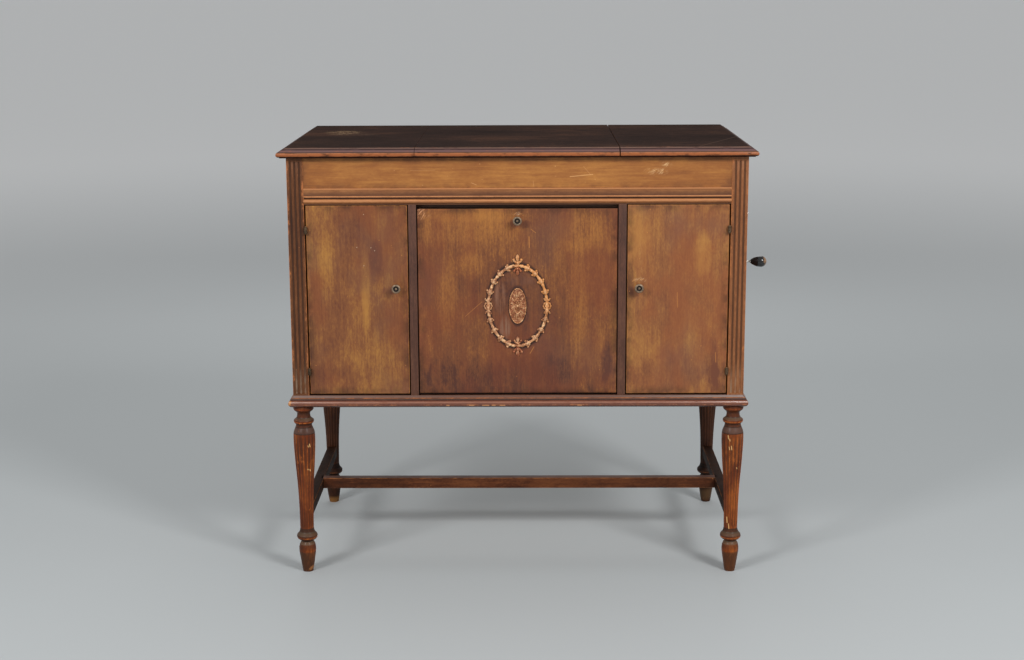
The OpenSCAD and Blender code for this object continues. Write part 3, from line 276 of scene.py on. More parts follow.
def wood(name, grain, dark, mid, light, patch=9.0, gloss=0.45, seed=0.0, worn=None, grime=None, wear=1.0, border=None,
         dashes=(), specks=0.0, coat=0.04, contrast=1.0, spots=(), shine=0.3, haze=None, ovals=(), behind=None,
         ragged=2.0, ruddy=None, polish=0.0, face=None, dust=None, dots=0.6, bands=(), scuffs=(), fogs=(), plane="xz"):
    """Stained and polished wood: slow clouds, mottling and fibres along the grain, worn and grimy places, painted shade
    and highlights.

    Places lie in the given plane, in metres. spots, scuffs and fogs start with (middle, reach), dashes with
    (first, last, breadth), bands with (lowest z, highest z) and ovals with (middle, half axes, breadth).
    """
    net = Finish(name)

    def along(share, push=0.0):
        """Object coordinates drawn out along the grain."""
        return net.stretch([share if axis == grain else 1.0 for axis in "xyz"], (seed + push, seed * 0.7, seed * 1.3))

    worn = worn or light
    grime = grime or dark
    slow = net.noise(along(0.5), patch, 3.0, 0.5, 0.3)
    mottle = net.noise(along(0.4, 2.0), 58.0, 4.0, 0.6, 0.5)
    streak = net.noise(along(0.05, 5.0), 230.0, 4.0, 0.6)
    fibre = net.noise(along(0.03), 620.0, 3.0, 0.65)
    grain_dots = net.noise(along(0.4, 7.0), 330.0, 3.0, 0.65)
    tone = (slow - 0.5) * 0.9 * contrast + (mottle - 0.5) * 0.5 * contrast + (streak - 0.5) * 0.45
    tone = tone + (fibre - 0.5) * 0.25 + (grain_dots - 0.5) * dots + 0.5

    def place_of(at, reach):
        """A soft, ragged spot on the face, 1 in its middle."""
        u, v = net.axis(plane[0]) - at[0], net.axis(plane[1]) - at[1]
        off = (u / reach[0]) ** 2.0 + (v / reach[1]) ** 2.0
        return (off + (slow - 0.5) * 2.4 + (mottle - 0.5) * 2.4).step(1.4, 0.0)

    # Spots lift and lower the tone: patches of stain, and a few painted shadows and highlights.
    for at, reach, lift in spots:
        tone = tone + place_of(at, reach) * lift
    colour = net.ramp(tone, (0.15, dark), (0.5, mid), (0.85, light))
    if ruddy:
        colour = net.blend(net.noise(along(0.55, 11.0), patch * 1.7, 4.0, 0.6).step(0.42, 0.64) * 0.55, colour, ruddy)
    if haze:
        colour = net.blend(net.noise(along(0.6, 9.0), patch * 0.8, 3.0, 0.55).step(0.5, 0.68) * 0.4, colour, haze)
    pores = fibre.step(0.4, 0.28) * streak.step(0.55, 0.4)
    colour = net.blend(pores * 0.45, colour, dark)
    dull = net.noise(net.place, 30.0, 4.0, 0.6)
    edge, hollow = net.mark("wear"), net.mark("hollow")
    chips = net.noise(along(0.45), 150.0, 4.0, 0.7)
    # Patchy darkening within 2 cm of the board's edges, in the hollow colour.
    if border:
        u0, u1, v0, v1 = border
        u, v = net.axis("x"), net.axis("z")
        rim = (u - u0).low(u1 - u).low(v - v0).low(v1 - v)
        colour = net.blend(rim.step(0.02, 0.001) * dull.step(0.38, 0.62) * 0.5, colour, grime)
    front = (net.axis("y") - face).step(0.004, 0.002) if face is not None else 1.0
    if dust:
        start, end, shade = dust
        dusty = hollow * net.axis("z").step(start, end) * dull.step(0.3, 0.6)
        colour = net.blend(dusty, colour, shade)
        hollow = hollow * net.axis("z").step(end, start)
    # Painted shadows: dark rings about ornament on the front face.
    for at, half, reach, share, shade in ovals:
        u, v = net.axis("x") - at[0], net.axis("z") - at[1]
        off = (((u / half[0]) ** 2.0 + (v / half[1]) ** 2.0) ** 0.5 - 1.0) * min(half)
        colour = net.blend(off.size().step(reach, reach * 0.35) * share * front, colour, shade)
    # Painted shade on faces set back behind the given front, such as the stiles' sides in their gaps.
    if behind is not None:
        hollow = hollow.high((net.axis("y") - behind).step(0.0012, 0.004))
    # Hollows and board sides take the hollow colour: painted shade on board sides in their gaps, a painted pale
    # reflection in the top's cove, and each wood's own hollow tint in the other hollows.
    colour = net.blend(hollow.held(), colour, grime)
    rub = ((edge * 1.35 - 0.3 + (chips - 0.5) * ragged) * wear).step(0.3, 0.7)
    colour = net.blend(rub * 0.85, colour, worn)
    soft = 0.0008
    # Bands along z: painted highlights and painted shade on the top's and the base's mouldings; on the legs, a painted
    # reflection on the collar and dust on the rings.
    for start, end, share, shade in bands:
        inside = net.axis("z").step(start - soft, start + soft) * net.axis("z").step(end + soft, end - soft)
        colour = net.blend(inside * dull.step(0.2, 0.5) * share, colour, shade)
    stretch = (1, 7, 1) if plane == "xy" else (1, 1, 7)
    for at, reach, turn, share, shade in scuffs:
        run = net.node("ShaderNodeMapping", {"vector_type": "TEXTURE"}, {0: net.place, 2: turn, 3: stretch})
        lines = net.noise(run, 480.0, 4.0, 0.7).step(0.5, 0.6)
        colour = net.blend(place_of(at, reach) * lines * share * front, colour, shade)
    for at, reach, share, shade in fogs:
        colour = net.blend(place_of(at, reach) * streak.step(0.35, 0.65) * share * front, colour, shade)
    for first, last, across, share, *tint in dashes:
        line = net.dash(first, last, across, plane)
        colour = net.blend(line * share * front, colour, tint[0] if tint else worn)
    if specks:
        flecks = net.cells(net.stretch((1, 1, 0.7), (seed, 0, seed)), 85.0).step(0.1, 0.04)
        colour = net.blend(flecks * net.noise(net.place, 11.0).step(0.5, 0.6) * specks, colour, worn)
    rough = (dull - 0.5) * 0.3 + gloss + rub * 0.12 + hollow * 0.25
    net.set(base_color=colour, roughness=rough.held(), coat_weight=(edge * polish + coat).held() if polish else coat,
            coat_roughness=0.22, specular_ior_level=shine)
    net.bump(streak * 0.4 + grain_dots * 0.3 + fibre * 0.5 - rub * 0.6 + dull * 0.3, 0.2, 0.0004)
    return net.material


def metal(name, colour, dirt, rough, tarnish, metallic=1.0, scale=60.0):
    """Metal with tarnish in its hollows and rubbed high places."""
    net = Finish(name)
    cloud = net.noise(net.place, scale, 4.0, 0.65)
    fine = net.noise(net.place, scale * 14, 3.0, 0.6)
    stain = (cloud.step(0.42, 0.66) * tarnish + net.mark("hollow")).held()
    tint = net.blend(stain, colour, dirt)
    polish = (cloud - 0.5) * 0.3 + rough + stain * 0.2 + (fine - 0.5) * 0.1
    net.set(base_color=tint, metallic=metallic, roughness=polish.held())
    net.bump(fine * 0.5 + cloud, 0.15, 0.0003)
    return net.material


def plain_wood(name, grain, dark, light, gloss=0.6):
    """Bare or thinly stained wood of the inside."""
    net = Finish(name)
    scale = [0.05 if axis == grain else 1.0 for axis in "xyz"]
    streak = net.noise(net.stretch(scale), 60.0, 5.0, 0.6)
    fibre = net.noise(net.stretch(scale), 900.0, 2.0)
    cloud = net.noise(net.place, 5.0, 3.0)
    tone = (streak - 0.5) * 1.1 + (fibre - 0.5) * 0.5 + (cloud - 0.5) * 0.8 + 0.5
    net.set(base_color=net.ramp(tone, (0.2, dark), (0.8, light)), roughness=((cloud - 0.5) * 0.2 + gloss).held())
    net.bump(fibre + streak, 0.2, 0.0004)
    return net.material


def felt_cloth():
    """The turntable's green felt, with a short nap."""
    net = Finish("green_felt")
    nap = net.noise(net.place, 900.0, 4.0, 0.7)
    cloud = net.noise(net.place, 24.0, 3.0)
    colour = net.ramp(nap * 0.6 + cloud * 0.4, (0.35, (38, 62, 34)), (0.65, (66, 92, 52)))
    net.set(base_color=colour, roughness=0.95, sheen_weight=0.4)
    net.bump(nap, 0.5, 0.0006)
    return net.material


def lacquer():
    """Black lacquer that has worn to pale wood at the tip."""
    net = Finish("black_lacquer")
    end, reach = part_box("crank_knob")[1].x, 0.012
    cloud = net.noise(net.place, 90.0, 4.0, 0.6)
    tip = (net.axis("x") - (end - reach)) / reach + (cloud - 0.5) * 2.2
    colour = net.blend(tip.step(0.4, 0.8), (22, 20, 20), (150, 112, 78))
    net.set(base_color=colour, roughness=((cloud - 0.5) * 0.2 + 0.22).held(), coat_weight=0.5)
    net.bump(cloud, 0.05, 0.0004)
    return net.material


def ornament_finish():
    """Copper-toned gilding with painted shade in its hollows and low parts, painted highlights at the upper right and
    on its tops; a redder cast on the inner palmettes and the lower one.
    """
    net = Finish("ornament_gilding")
    cloud = net.noise(net.place, 130.0, 4.0, 0.65)
    fine = net.noise(net.place, 560.0, 3.0, 0.6)
    low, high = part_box("wreath")
    across = (net.axis("x") - (low.x + high.x) / 2) / (high.x - low.x) * 2
    up = (net.axis("z") - (low.z + high.z) / 2) / (high.z - low.z) * 2
    tone = (cloud - 0.5) * 2.0 + (fine - 0.5) * 1.4 + 0.5
    colour = net.ramp(tone, (0.15, (104, 54, 30)), (0.5, (194, 128, 80)), (0.85, (250, 206, 156)))
    # A painted highlight towards the upper right.
    colour = net.blend((across + up - 0.2).step(0.2, 1.0) * 0.7, colour, (224, 148, 76))
    # A greyer cast towards the left.
    colour = net.blend((across + 0.2 + (cloud - 0.5)).step(-0.2, -1.0) * 0.3, colour, (178, 122, 92))
    colour = net.blend(net.mark("red") * 0.75, colour, (168, 82, 48))
    raised = high.y - net.axis("y")
    # A painted highlight on the raised tops.
    colour = net.blend(raised.step(0.0030, 0.0042) * 0.45, colour, (255, 214, 166))
    # Painted shade on the low parts near the ground, away from the middle where the patera is.
    outside_patera = across.size().step(0.3, 0.45)
    colour = net.blend(raised.step(0.0026, 0.0006) * outside_patera * 0.8, colour, (84, 44, 30))
    # Painted shade in the hollows.
    colour = net.blend((net.mark("hollow") * 1.3).held(), colour, (58, 29, 21))
    net.set(base_color=colour, metallic=0.12, roughness=((cloud - 0.5) * 0.2 + 0.5).held(), specular_ior_level=0.5)
    net.bump(fine + cloud * 0.5, 0.25, 0.0004)
    return net.material


# ---------------------------------------------------------------- mesh tools
def marked(mesh, marks):
    """Stores each mark's value for every point of a mesh."""
    for key, values in marks.items():
        mesh.attributes.new(key, "FLOAT", "POINT").data.foreach_set("value", values)


def mesh_of(name, points, faces, marks):
    """A closed mesh with its faces outward and its marks as attributes."""
    mesh = bpy.data.meshes.new(name)
    mesh.from_pydata(points, [], faces)
    marked(mesh, marks)
    work = bmesh.new()
    work.from_mesh(mesh)
    bmesh.ops.recalc_face_normals(work, faces=work.faces)
    work.to_mesh(mesh)
    work.free()
    return mesh


def dressed(name, mesh, finish, body, stands_for, crease=38):
    """A mesh as a piece in the row frame, riding on its body in the place of CAD nodes."""
    mesh.materials.clear()
    mesh.materials.append(finish)
    mesh.shade_smooth()
    mesh.set_sharp_from_angle(angle=math.radians(crease))
    piece = added(name, mesh)
    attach(piece, body)
    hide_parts(*stands_for)


class Shape:
    """Points and faces gathered from several closed skins, with their marks."""

    def __init__(self):
        self.points = []
        self.faces = []
        self.marks = {"wear": [], "hollow": [], "red": []}

    def skin(self, loops, wear=0.0, hollow=0.0, red=0.0, ring=False):
        """Joins equal closed loops in order, with caps or as a ring.

        A mark is one number, a number for each loop, or a function of the loop's and the point's index.
        """
        base, count, rows = len(self.points), len(loops[0]), len(loops)
        for j, loop in enumerate(loops):
            self.points += loop
            for key, given in (("wear", wear), ("hollow", hollow), ("red", red)):
                for i in range(count):
                    value = given(j, i) if callable(given) else given[j] if isinstance(given, list) else given
                    self.marks[key].append(float(value))
        for j in range(rows if ring else rows - 1):
            a, b = base + j * count, base + ((j + 1) % rows) * count
            for i in range(count):
                k = (i + 1) % count
                self.faces.append((a + i, a + k, b + k, b + i))
        if not ring:
            self.faces.append(tuple(base + i for i in reversed(range(count))))
            self.faces.append(tuple(base + (rows - 1) * count + i for i in range(count)))
        return self

    def mesh(self, name, every=False):
        """The gathered skins as one mesh; every keeps the marks that are nowhere set."""
        marks = {key: values for key, values in self.marks.items() if every or any(values)}
        return mesh_of(name, self.points, self.faces, marks)

    def made(self, name, finish, body, stands_for, slot, crease=38):
        """Puts the gathered skins into the scene as one piece."""
        dressed(name, self.mesh(name), finish, body, stands_for, crease)

    def stamp(self, name):
        """The gathered skins as a loose object, for a pattern to repeat."""
        return bpy.data.objects.new(name, self.mesh(name, True))


def dense(points, step):
    """The same open outline with extra points, none further apart than step."""
    out = [points[0]]
    for a, b in zip(points, points[1:]):
        n = max(1, math.ceil(math.dist(a, b) / step))
        out += [tuple(a[k] + (b[k] - a[k]) * i / n for k in range(len(a))) for i in range(1, n + 1)]
    return out


def rounded(points, radius, steps):
    """An open outline with its corners rounded."""
    out = [points[0]]
    for a, b, c in zip(points, points[1:], points[2:]):
        ab, bc = math.dist(a, b), math.dist(b, c)
        cut = min(radius, ab * 0.45, bc * 0.45)
        p = [b[k] + (a[k] - b[k]) * cut / ab for k in range(2)]
        q = [b[k] + (c[k] - b[k]) * cut / bc for k in range(2)]
        for i in range(steps + 1):
            t = i / steps
            out.append(tuple((1 - t) ** 2 * p[k] + 2 * t * (1 - t) * b[k] + t * t * q[k] for k in range(2)))
    return out + [points[-1]]


def bends(outline):
    """How sharply each point of an open outline turns, in radians, with its sign."""
    turn = [0.0]
    for a, b, c in zip(outline, outline[1:], outline[2:]):
        angle = math.atan2(c[1] - b[1], c[0] - b[0]) - math.atan2(b[1] - a[1], b[0] - a[0])
        turn.append((angle + math.pi) % (2 * math.pi) - math.pi)
    return turn + [0.0]


EASE = 0.0012  # the eased corner of a board, in metres


def rect(low, high, plane, cut, inset=0.0, corner=EASE):
    """A box's outline in a plane, its corners eased, drawn in on the sides that cut names: left, right, low, high."""
    u, v = "xyz".index(plane[0]), "xyz".index(plane[1])
    u0, u1 = low[u] + inset * cut[0], high[u] - inset * cut[1]
    v0, v1 = low[v] + inset * cut[2], high[v] - inset * cut[3]
    loop = []
    for cu, cv, start in ((u1, v0, -90), (u1, v1, 0), (u0, v1, 90), (u0, v0, 180)):
        mu = cu - corner if cu == u1 else cu + corner
        mv = cv - corner if cv == v1 else cv + corner
        for i in range(4):
            t = math.radians(start + 30 * i)
            loop.append((mu + corner * math.cos(t), mv + corner * math.sin(t)))
    return loop


def board(name, node, section, finish, body, cut, plane, slot, wear, hollow, corner=EASE):
    """A board whose edges follow a section of (inset, height) pairs, stacked across its thickness."""
    low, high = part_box(node)
    loops = []
    for inset, height in section:
        outline = rect(low, high, plane, cut, inset, corner)
        loops.append([(u, v, height) if plane == "xy" else (u, height, v) for u, v in outline])
    Shape().skin(loops, wear, hollow).made(name, finish, body, (node,), slot)


def lathe(outline, centre, axis, around, hollow=0.0):
    """Turns an outline of (radius, height) pairs round the x or y axis through centre."""
    loops = []
    for r, h in outline:
        loop = []
        for i in range(around):
            t = 2 * math.pi * i / around
            q = max(r, 1e-6)
            a, b = q * math.cos(t), q * math.sin(t)
            spot = (h, a, b) if axis == "x" else (a, h, b)
            loop.append(tuple(c + s for c, s in zip(centre, spot)))
        loops.append(loop)
    return Shape().skin(loops, 0.0, hollow)


def eased(node, width, finish, body):
    """A copy of a CAD node with its points merged and its corners eased and worn, in the node's place."""
    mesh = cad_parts[node].data.copy()
    work = bmesh.new()
    work.from_mesh(mesh)
    bmesh.ops.remove_doubles(work, verts=work.verts, dist=1e-6)
    bmesh.ops.dissolve_limit(work, angle_limit=math.radians(0.6), verts=work.verts, edges=work.edges)
    work.to_mesh(mesh)
    work.free()
    name = node + "_eased"
    piece = added(name, mesh)
    ease = piece.modifiers.new("ease", "BEVEL")
    ease.width = width
    ease.segments = 2
    ease.limit_method = "ANGLE"
    ease.angle_limit = math.radians(40)
    mesh = solved(piece)
    bpy.data.objects.remove(piece)
    wear = [1.0] * len(mesh.vertices)
    for face in mesh.polygons:
        corners = [mesh.vertices[k].co for k in face.vertices]
        longest = max((a - b).length for a, b in zip(corners, corners[1:] + corners[:1]))
        if face.area / longest > width * 1.3:
            for k in face.vertices:
                wear[k] = 0.0
    marked(mesh, {"wear": wear})
    dressed(name, mesh, finish, body, (node,), 35)


# ---------------------------------------------------------------- camera and light
def set_camera():
    """The photograph's camera, as it was solved from the straight edges."""
    yaw, pitch, roll = (math.radians(a) for a in (-0.563, 11.761, -0.247))
    look = Vector((math.sin(yaw) * math.cos(pitch), math.cos(yaw) * math.cos(pitch), -math.sin(pitch)))
    right = Vector((math.cos(yaw), -math.sin(yaw), 0))
    up = right.cross(look)
    turned_right = math.cos(roll) * right + math.sin(roll) * up
    turned_up = -math.sin(roll) * right + math.cos(roll) * up
    lens = bpy.data.cameras.new("camera")
    lens.lens = 58.62
    lens.sensor_width = 36.0
    camera = added("camera", lens)
    turn = Matrix((turned_right, turned_up, -look)).transposed()
    camera.matrix_world = Matrix.Translation((-0.00399, -3.5943, 1.21904)) @ turn.to_4x4()
    bpy.context.scene.camera = camera


def set_light():
    """Two soft lamps in front, a weak one behind and an even pale surround."""
    for name, place, aim, size, power in (
            ("key_light", (1.9, -2.6, 2.5), (0, 0, 0.5), (0.8, 0.8), 66),
            ("fill_light", (-2.1, -2.6, 2.3), (0, 0, 0.5), (0.8, 0.8), 50),
            ("back_light", (0, 2.6, 2.2), (0, 0, 0.6), (2.4, 1.2), 16)):
        light = bpy.data.lights.new(name, "AREA")
        light.shape = "RECTANGLE"
        light.size, light.size_y = size
        light.energy = power
        lamp = added(name, light)
        lamp.location = place
        lamp.rotation_euler = (Vector(aim) - Vector(place)).to_track_quat("-Z", "Y").to_euler()
    world = bpy.data.worlds.new("studio")
    world.use_nodes = True
    ground = world.node_tree.nodes["Background"]
    ground.inputs[0].default_value = (0.97, 0.99, 1.0, 1)
    ground.inputs[1].default_value = 0.44
    bpy.context.scene.world = world
    bpy.context.scene.view_settings.view_transform = "Standard"


def set_floor():
    """A pale floor that grows paler with distance, so that it runs into the background."""
    net = Finish("pale_floor")
    cloud = net.noise(net.place, 3.0, 4.0)
    far = (net.axis("x") ** 2.0 + net.axis("y") ** 2.0) ** 0.5
    near = net.blend((cloud - 0.5).held() * 0.12, (186, 190, 191), (170, 174, 176))
    pale = net.blend(far.step(1.2, 9.0), near, (255, 255, 255))
    net.set(base_color=pale, roughness=0.8, specular_ior_level=0.2)
    mesh = bpy.data.meshes.new("floor")
    reach = 500
    corners = [(u * reach, v * reach, 0) for u, v in ((-1, -1), (1, -1), (1, 1), (-1, 1))]
    mesh.from_pydata(corners, [], [(0, 1, 2, 3)])
    mesh.materials.append(net.material)
    floor = added("floor", mesh)


# ---------------------------------------------------------------- stained woods
WOODS = {}
ORANGE, BLACK = (190, 124, 62), (20, 12, 10)


def stain(name, *looks, **more):
    """Keeps one of the outside's woods under the name of what it dresses."""
    WOODS[name] = wood(name + "_wood", *looks, **more)


def middle_of(node):
    """The middle of a CAD node's box."""
    return tuple((a + b) / 2 for a, b in zip(*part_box(node)))


def beside(at, across, up):
    """A place on the face, measured from another."""
    return at[0] + across, at[1] + up


def panel(node):
    """What the doors and the drop front share: their edges, their face, bare orange wood, and black for painted shade
    on their sides in the gaps and for darker patches along their edges.
    """
    low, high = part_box(node)
    return {"border": (low.x, high.x, low.z, high.z), "face": low.y, "worn": ORANGE, "grime": BLACK}


def stain_doors():
    """Both doors, each with its own patches and marks, some of them about its knob; the dark spot below and left of
    each knob is painted shadow and finger grease.
    """
    at = middle_of("left_knob")[::2]
    stain("left_door", "z", (98, 54, 38), (131, 81, 46), (168, 116, 56), patch=10, ruddy=(128, 70, 40), seed=3.1,
          specks=0.7, haze=(108, 72, 56), contrast=1.15, **panel("left_door"),
          dashes=[((x, z), (x + 0.0004, z + 0.0006), 0.0009, 0.8, (214, 190, 160)) for x, z in
                  ((-0.336, 0.762), (-0.351, 0.695), (-0.3225, 0.694), (-0.315, 0.688), (-0.3375, 0.657))],
          spots=[((-0.415, 0.66), (0.018, 0.08), 0.24), ((-0.335, 0.60), (0.010, 0.09), 0.36),
                 # The second spot on this line, below and left of the knob, is painted shadow of the knob and finger
                 # grease.
                 ((-0.31, 0.665), (0.014, 0.05), -0.4), (beside(at, -0.014, -0.006), (0.016, 0.012), -0.3),
                 ((-0.365, 0.74), (0.045, 0.035), -0.08), ((-0.37, 0.43), (0.07, 0.035), -0.12),
                 ((-0.30, 0.75), (0.012, 0.05), 0.15)])
    at = middle_of("right_knob")[::2]
    stain("right_door", "z", (110, 64, 44), (142, 90, 52), (176, 122, 62), patch=9, ruddy=(142, 80, 46), seed=7.7,
          specks=0.8, haze=(114, 78, 64), **panel("right_door"),
          dashes=[(beside(at, -0.013, 0.012), beside(at, -0.007, 0.016), 0.0012, 0.7),
                  (beside(at, 0.003, 0.016), beside(at, 0.011, 0.015), 0.0010, 0.6),
                  ((0.300, 0.600), (0.301, 0.570), 0.0014, 0.45), ((0.380, 0.475), (0.381, 0.455), 0.0014, 0.5)],
          scuffs=[(beside(at, 0.002, 0.014), (0.016, 0.006), (0, 0.9, 0), 0.75, (206, 162, 120)),
                  (beside(at, 0.004, 0.06), (0.006, 0.05), (0, 0, 0), 0.5, (190, 140, 84))],
          spots=[((0.218, 0.72), (0.03, 0.06), 0.3), ((0.35, 0.68), (0.02, 0.05), 0.3),
                 # The second spot on this line, below and left of the knob, is painted shadow of the knob and finger
                 # grease.
                 ((0.375, 0.45), (0.012, 0.07), -0.3), (beside(at, -0.012, -0.008), (0.018, 0.012), -0.3),
                 ((0.29, 0.43), (0.11, 0.045), -0.16), ((0.33, 0.52), (0.02, 0.06), 0.15)])


def stain_drop_front():
    """The drop front, with fogged patches, painted shadow rings about its ornament, and a dark spot under its knob that
    is painted shadow and finger grease.
    """
    low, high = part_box("drop_front")
    at, wreath = middle_of("drop_front_knob")[::2], middle_of("wreath")[::2]
    stain("drop_front", "z", (82, 47, 36), (121, 72, 42), (166, 108, 52), patch=7, ruddy=(120, 62, 38), seed=1.4,
          specks=0.5, haze=(98, 66, 56), **panel("drop_front"),
          spots=[((-0.025, 0.42), (0.20, 0.05), -0.24), ((-0.025, 0.575), (0.075, 0.10), -0.10),
                 ((-0.13, 0.742), (0.14, 0.05), 0.15), ((-0.12, 0.758), (0.12, 0.014), 0.12),
                 ((0.10, 0.725), (0.06, 0.05), 0.24), ((-0.17, 0.60), (0.02, 0.09), 0.22),
                 ((-0.12, 0.66), (0.03, 0.03), 0.2), ((0.155, 0.46), (0.012, 0.06), -0.3),
                 # The last spot, below the knob, is painted shadow of the knob and finger grease.
                 ((0.10, 0.58), (0.02, 0.12), 0.16), (beside(at, 0, -0.008), (0.030, 0.011), -0.35)],
          dashes=[(beside(at, -0.006, 0.012), beside(at, -0.002, 0.014), 0.001, 0.6),
                  (beside(at, 0.003, 0.014), beside(at, 0.009, 0.012), 0.001, 0.6),
                  ((-0.0015, 0.716), (-0.0012, 0.694), 0.0011, 0.9), ((-0.132, 0.552), (-0.098, 0.582), 0.0009, 0.45),
                  ((0.008, 0.488), (0.0, 0.474), 0.0011, 0.6), ((0.003, 0.731), (0.012, 0.724), 0.001, 0.6)],
          scuffs=[(beside(at, 0, 0.013), (0.014, 0.005), (0, 0.9, 0), 0.8, (206, 168, 136)),
                  ((low.x + 0.012, high.z - 0.008), (0.016, 0.012), (0, 0.6, 0), 0.9, (196, 138, 96))],
          fogs=[(beside(wreath, -0.026, -0.046), (0.012, 0.026), 0.55, (142, 112, 92)),
                (beside(wreath, -0.036, 0.018), (0.010, 0.034), 0.55, (148, 106, 84)),
                (beside(wreath, 0.006, 0.052), (0.026, 0.010), 0.2, (136, 96, 78))],
          # Painted shadows: a dark ring about the wreath and a smaller one about the ornament in its middle.
          ovals=[(wreath, (0.060, 0.083), 0.0085, 0.85, (28, 19, 22)),
                 (wreath, (0.016, 0.035), 0.005, 0.75, (44, 26, 24))])


def stain_case():
    """The top, the frieze, the mouldings, the posts and the sides."""
    low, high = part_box("frieze_board")
    stain("frieze", "x", (116, 69, 38), (149, 92, 46), (185, 125, 62), patch=8, seed=4.2, worn=(214, 160, 104),
          grime=(84, 48, 32), contrast=0.9, dots=0.25, specks=0.7,
          border=(low.x, high.x, low.z - 0.004, high.z + 0.002),
          scuffs=[((0.253, 0.848), (0.022, 0.008), (0, 0.9, 0), 0.9, (226, 184, 132)),
                  ((0.275, 0.862), (0.012, 0.006), (0, 0.9, 0), 0.7, (226, 184, 132))],
          spots=[((0.27, 0.85), (0.14, 0.03), 0.07)],
          dashes=[((0.108, 0.858), (0.122, 0.842), 0.0007, 0.4), ((-0.24, 0.851), (-0.19, 0.8515), 0.0006, 0.35),
                  ((0.081, 0.8375), (0.127, 0.842), 0.0010, 0.8), ((-0.117, 0.8255), (-0.107, 0.8215), 0.0009, 0.6),
                  ((0.0070, 0.829), (0.0085, 0.817), 0.0007, 0.4)])
    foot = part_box("lid")[0].z
    # On the top the hollow colour (116, 88, 86) is a painted pale reflection in the cove. Its bands are a dark line in
    # the cove, painted shade at the foot of the nose, a painted highlight on the nose and a pale grey line on the
    # fillet.
    stain("top", "x", (30, 19, 16), (50, 34, 28), (84, 56, 42), patch=5, seed=2.2, gloss=0.6, coat=0.0, shine=0.0,
          polish=0.5, worn=(168, 98, 58), grime=(116, 88, 86), specks=0.4, ragged=1.15, plane="xy",
          bands=[(foot + start, foot + end, share, shade) for start, end, share, shade in (
              (0.0158, 0.0172, 0.85, (34, 22, 20)), (-0.001, 0.0030, 0.85, (60, 32, 22)),
              (0.0098, 0.0110, 0.45, (200, 142, 106)), (0.0182, 0.0194, 0.8, (140, 112, 98)))],
          dashes=[((0.340, -0.25), (0.465, 0.014), 0.0018, 0.5, (104, 80, 66))],
          scuffs=[((-0.41, 0.08), (0.045, 0.055), (0, 0, 1.2), 0.9, (190, 156, 118)),
                  ((-0.37, 0.04), (0.05, 0.03), (0, 0, 0.9), 0.4, (130, 104, 84))])
    stain("moulding", "x", (114, 68, 42), (153, 98, 57), (184, 124, 74), patch=9, seed=5.9, contrast=0.6,
          worn=(190, 128, 82), grime=(58, 32, 24), specks=0.4, ragged=0.9)
    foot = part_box("base_frame")[0].z
    stain("base", "x", (78, 42, 31), (110, 62, 44), (138, 86, 60), patch=8, seed=6.6, contrast=0.5, gloss=0.22,
          shine=0.5, polish=0.6, worn=(176, 104, 56), grime=(92, 70, 58), specks=0.8, ragged=1.4,
          # Bands: a painted shadow line in the quirk over the half round, a painted highlight on the half round and
          # painted shade under it.
          bands=[(foot + start, foot + end, share, shade) for start, end, share, shade in (
              (0.0148, 0.0172, 0.8, (48, 26, 22)), (0.0095, 0.0128, 0.5, (166, 118, 96)),
              (-0.001, 0.0035, 0.7, (54, 28, 20)))],
          dashes=[((-0.4968, foot + 0.007), (-0.4955, foot + 0.012), 0.004, 0.85, (196, 132, 70))] + [
              ((x, foot + 0.0052), (x + long, foot + 0.0050), 0.0016, 0.9, (214, 146, 92)) for x, long in
              ((-0.125, 0.009), (-0.098, 0.013), (-0.078, 0.006), (-0.062, 0.010), (0.098, 0.008), (-0.172, 0.005))])
    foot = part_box("front_left_post")[0].z
    for name, warm in (("left_post", 0), ("post", 10), ("right_post", 20)):
        stain(name, "z", (70 + warm, 38 + warm, 22 + warm * 0.8), (101 + warm * 1.6, 59 + warm * 1.1, 30 + warm * 0.8),
              (132 + warm * 1.2, 84 + warm, 50 + warm * 0.8), patch=8, seed=8.3 + warm, contrast=0.9, ragged=2.4,
              worn=(176, 106, 58), grime=(42, 25, 18), specks=0.8, dust=(foot + 0.08, foot + 0.02, (150, 128, 106)))
    # The stiles' faces set back from their front, beside the doors, are painted black as shade.
    stain("stile", "z", (66, 44, 37), (94, 62, 49), (118, 80, 60), patch=8, seed=9.3, gloss=0.55, shine=0.2,
          worn=(138, 84, 56), grime=BLACK, behind=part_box("stiles")[0].y)
    stain("side", "z", (80, 48, 34), (114, 70, 46), (146, 94, 56), patch=7, seed=13.0, worn=ORANGE)


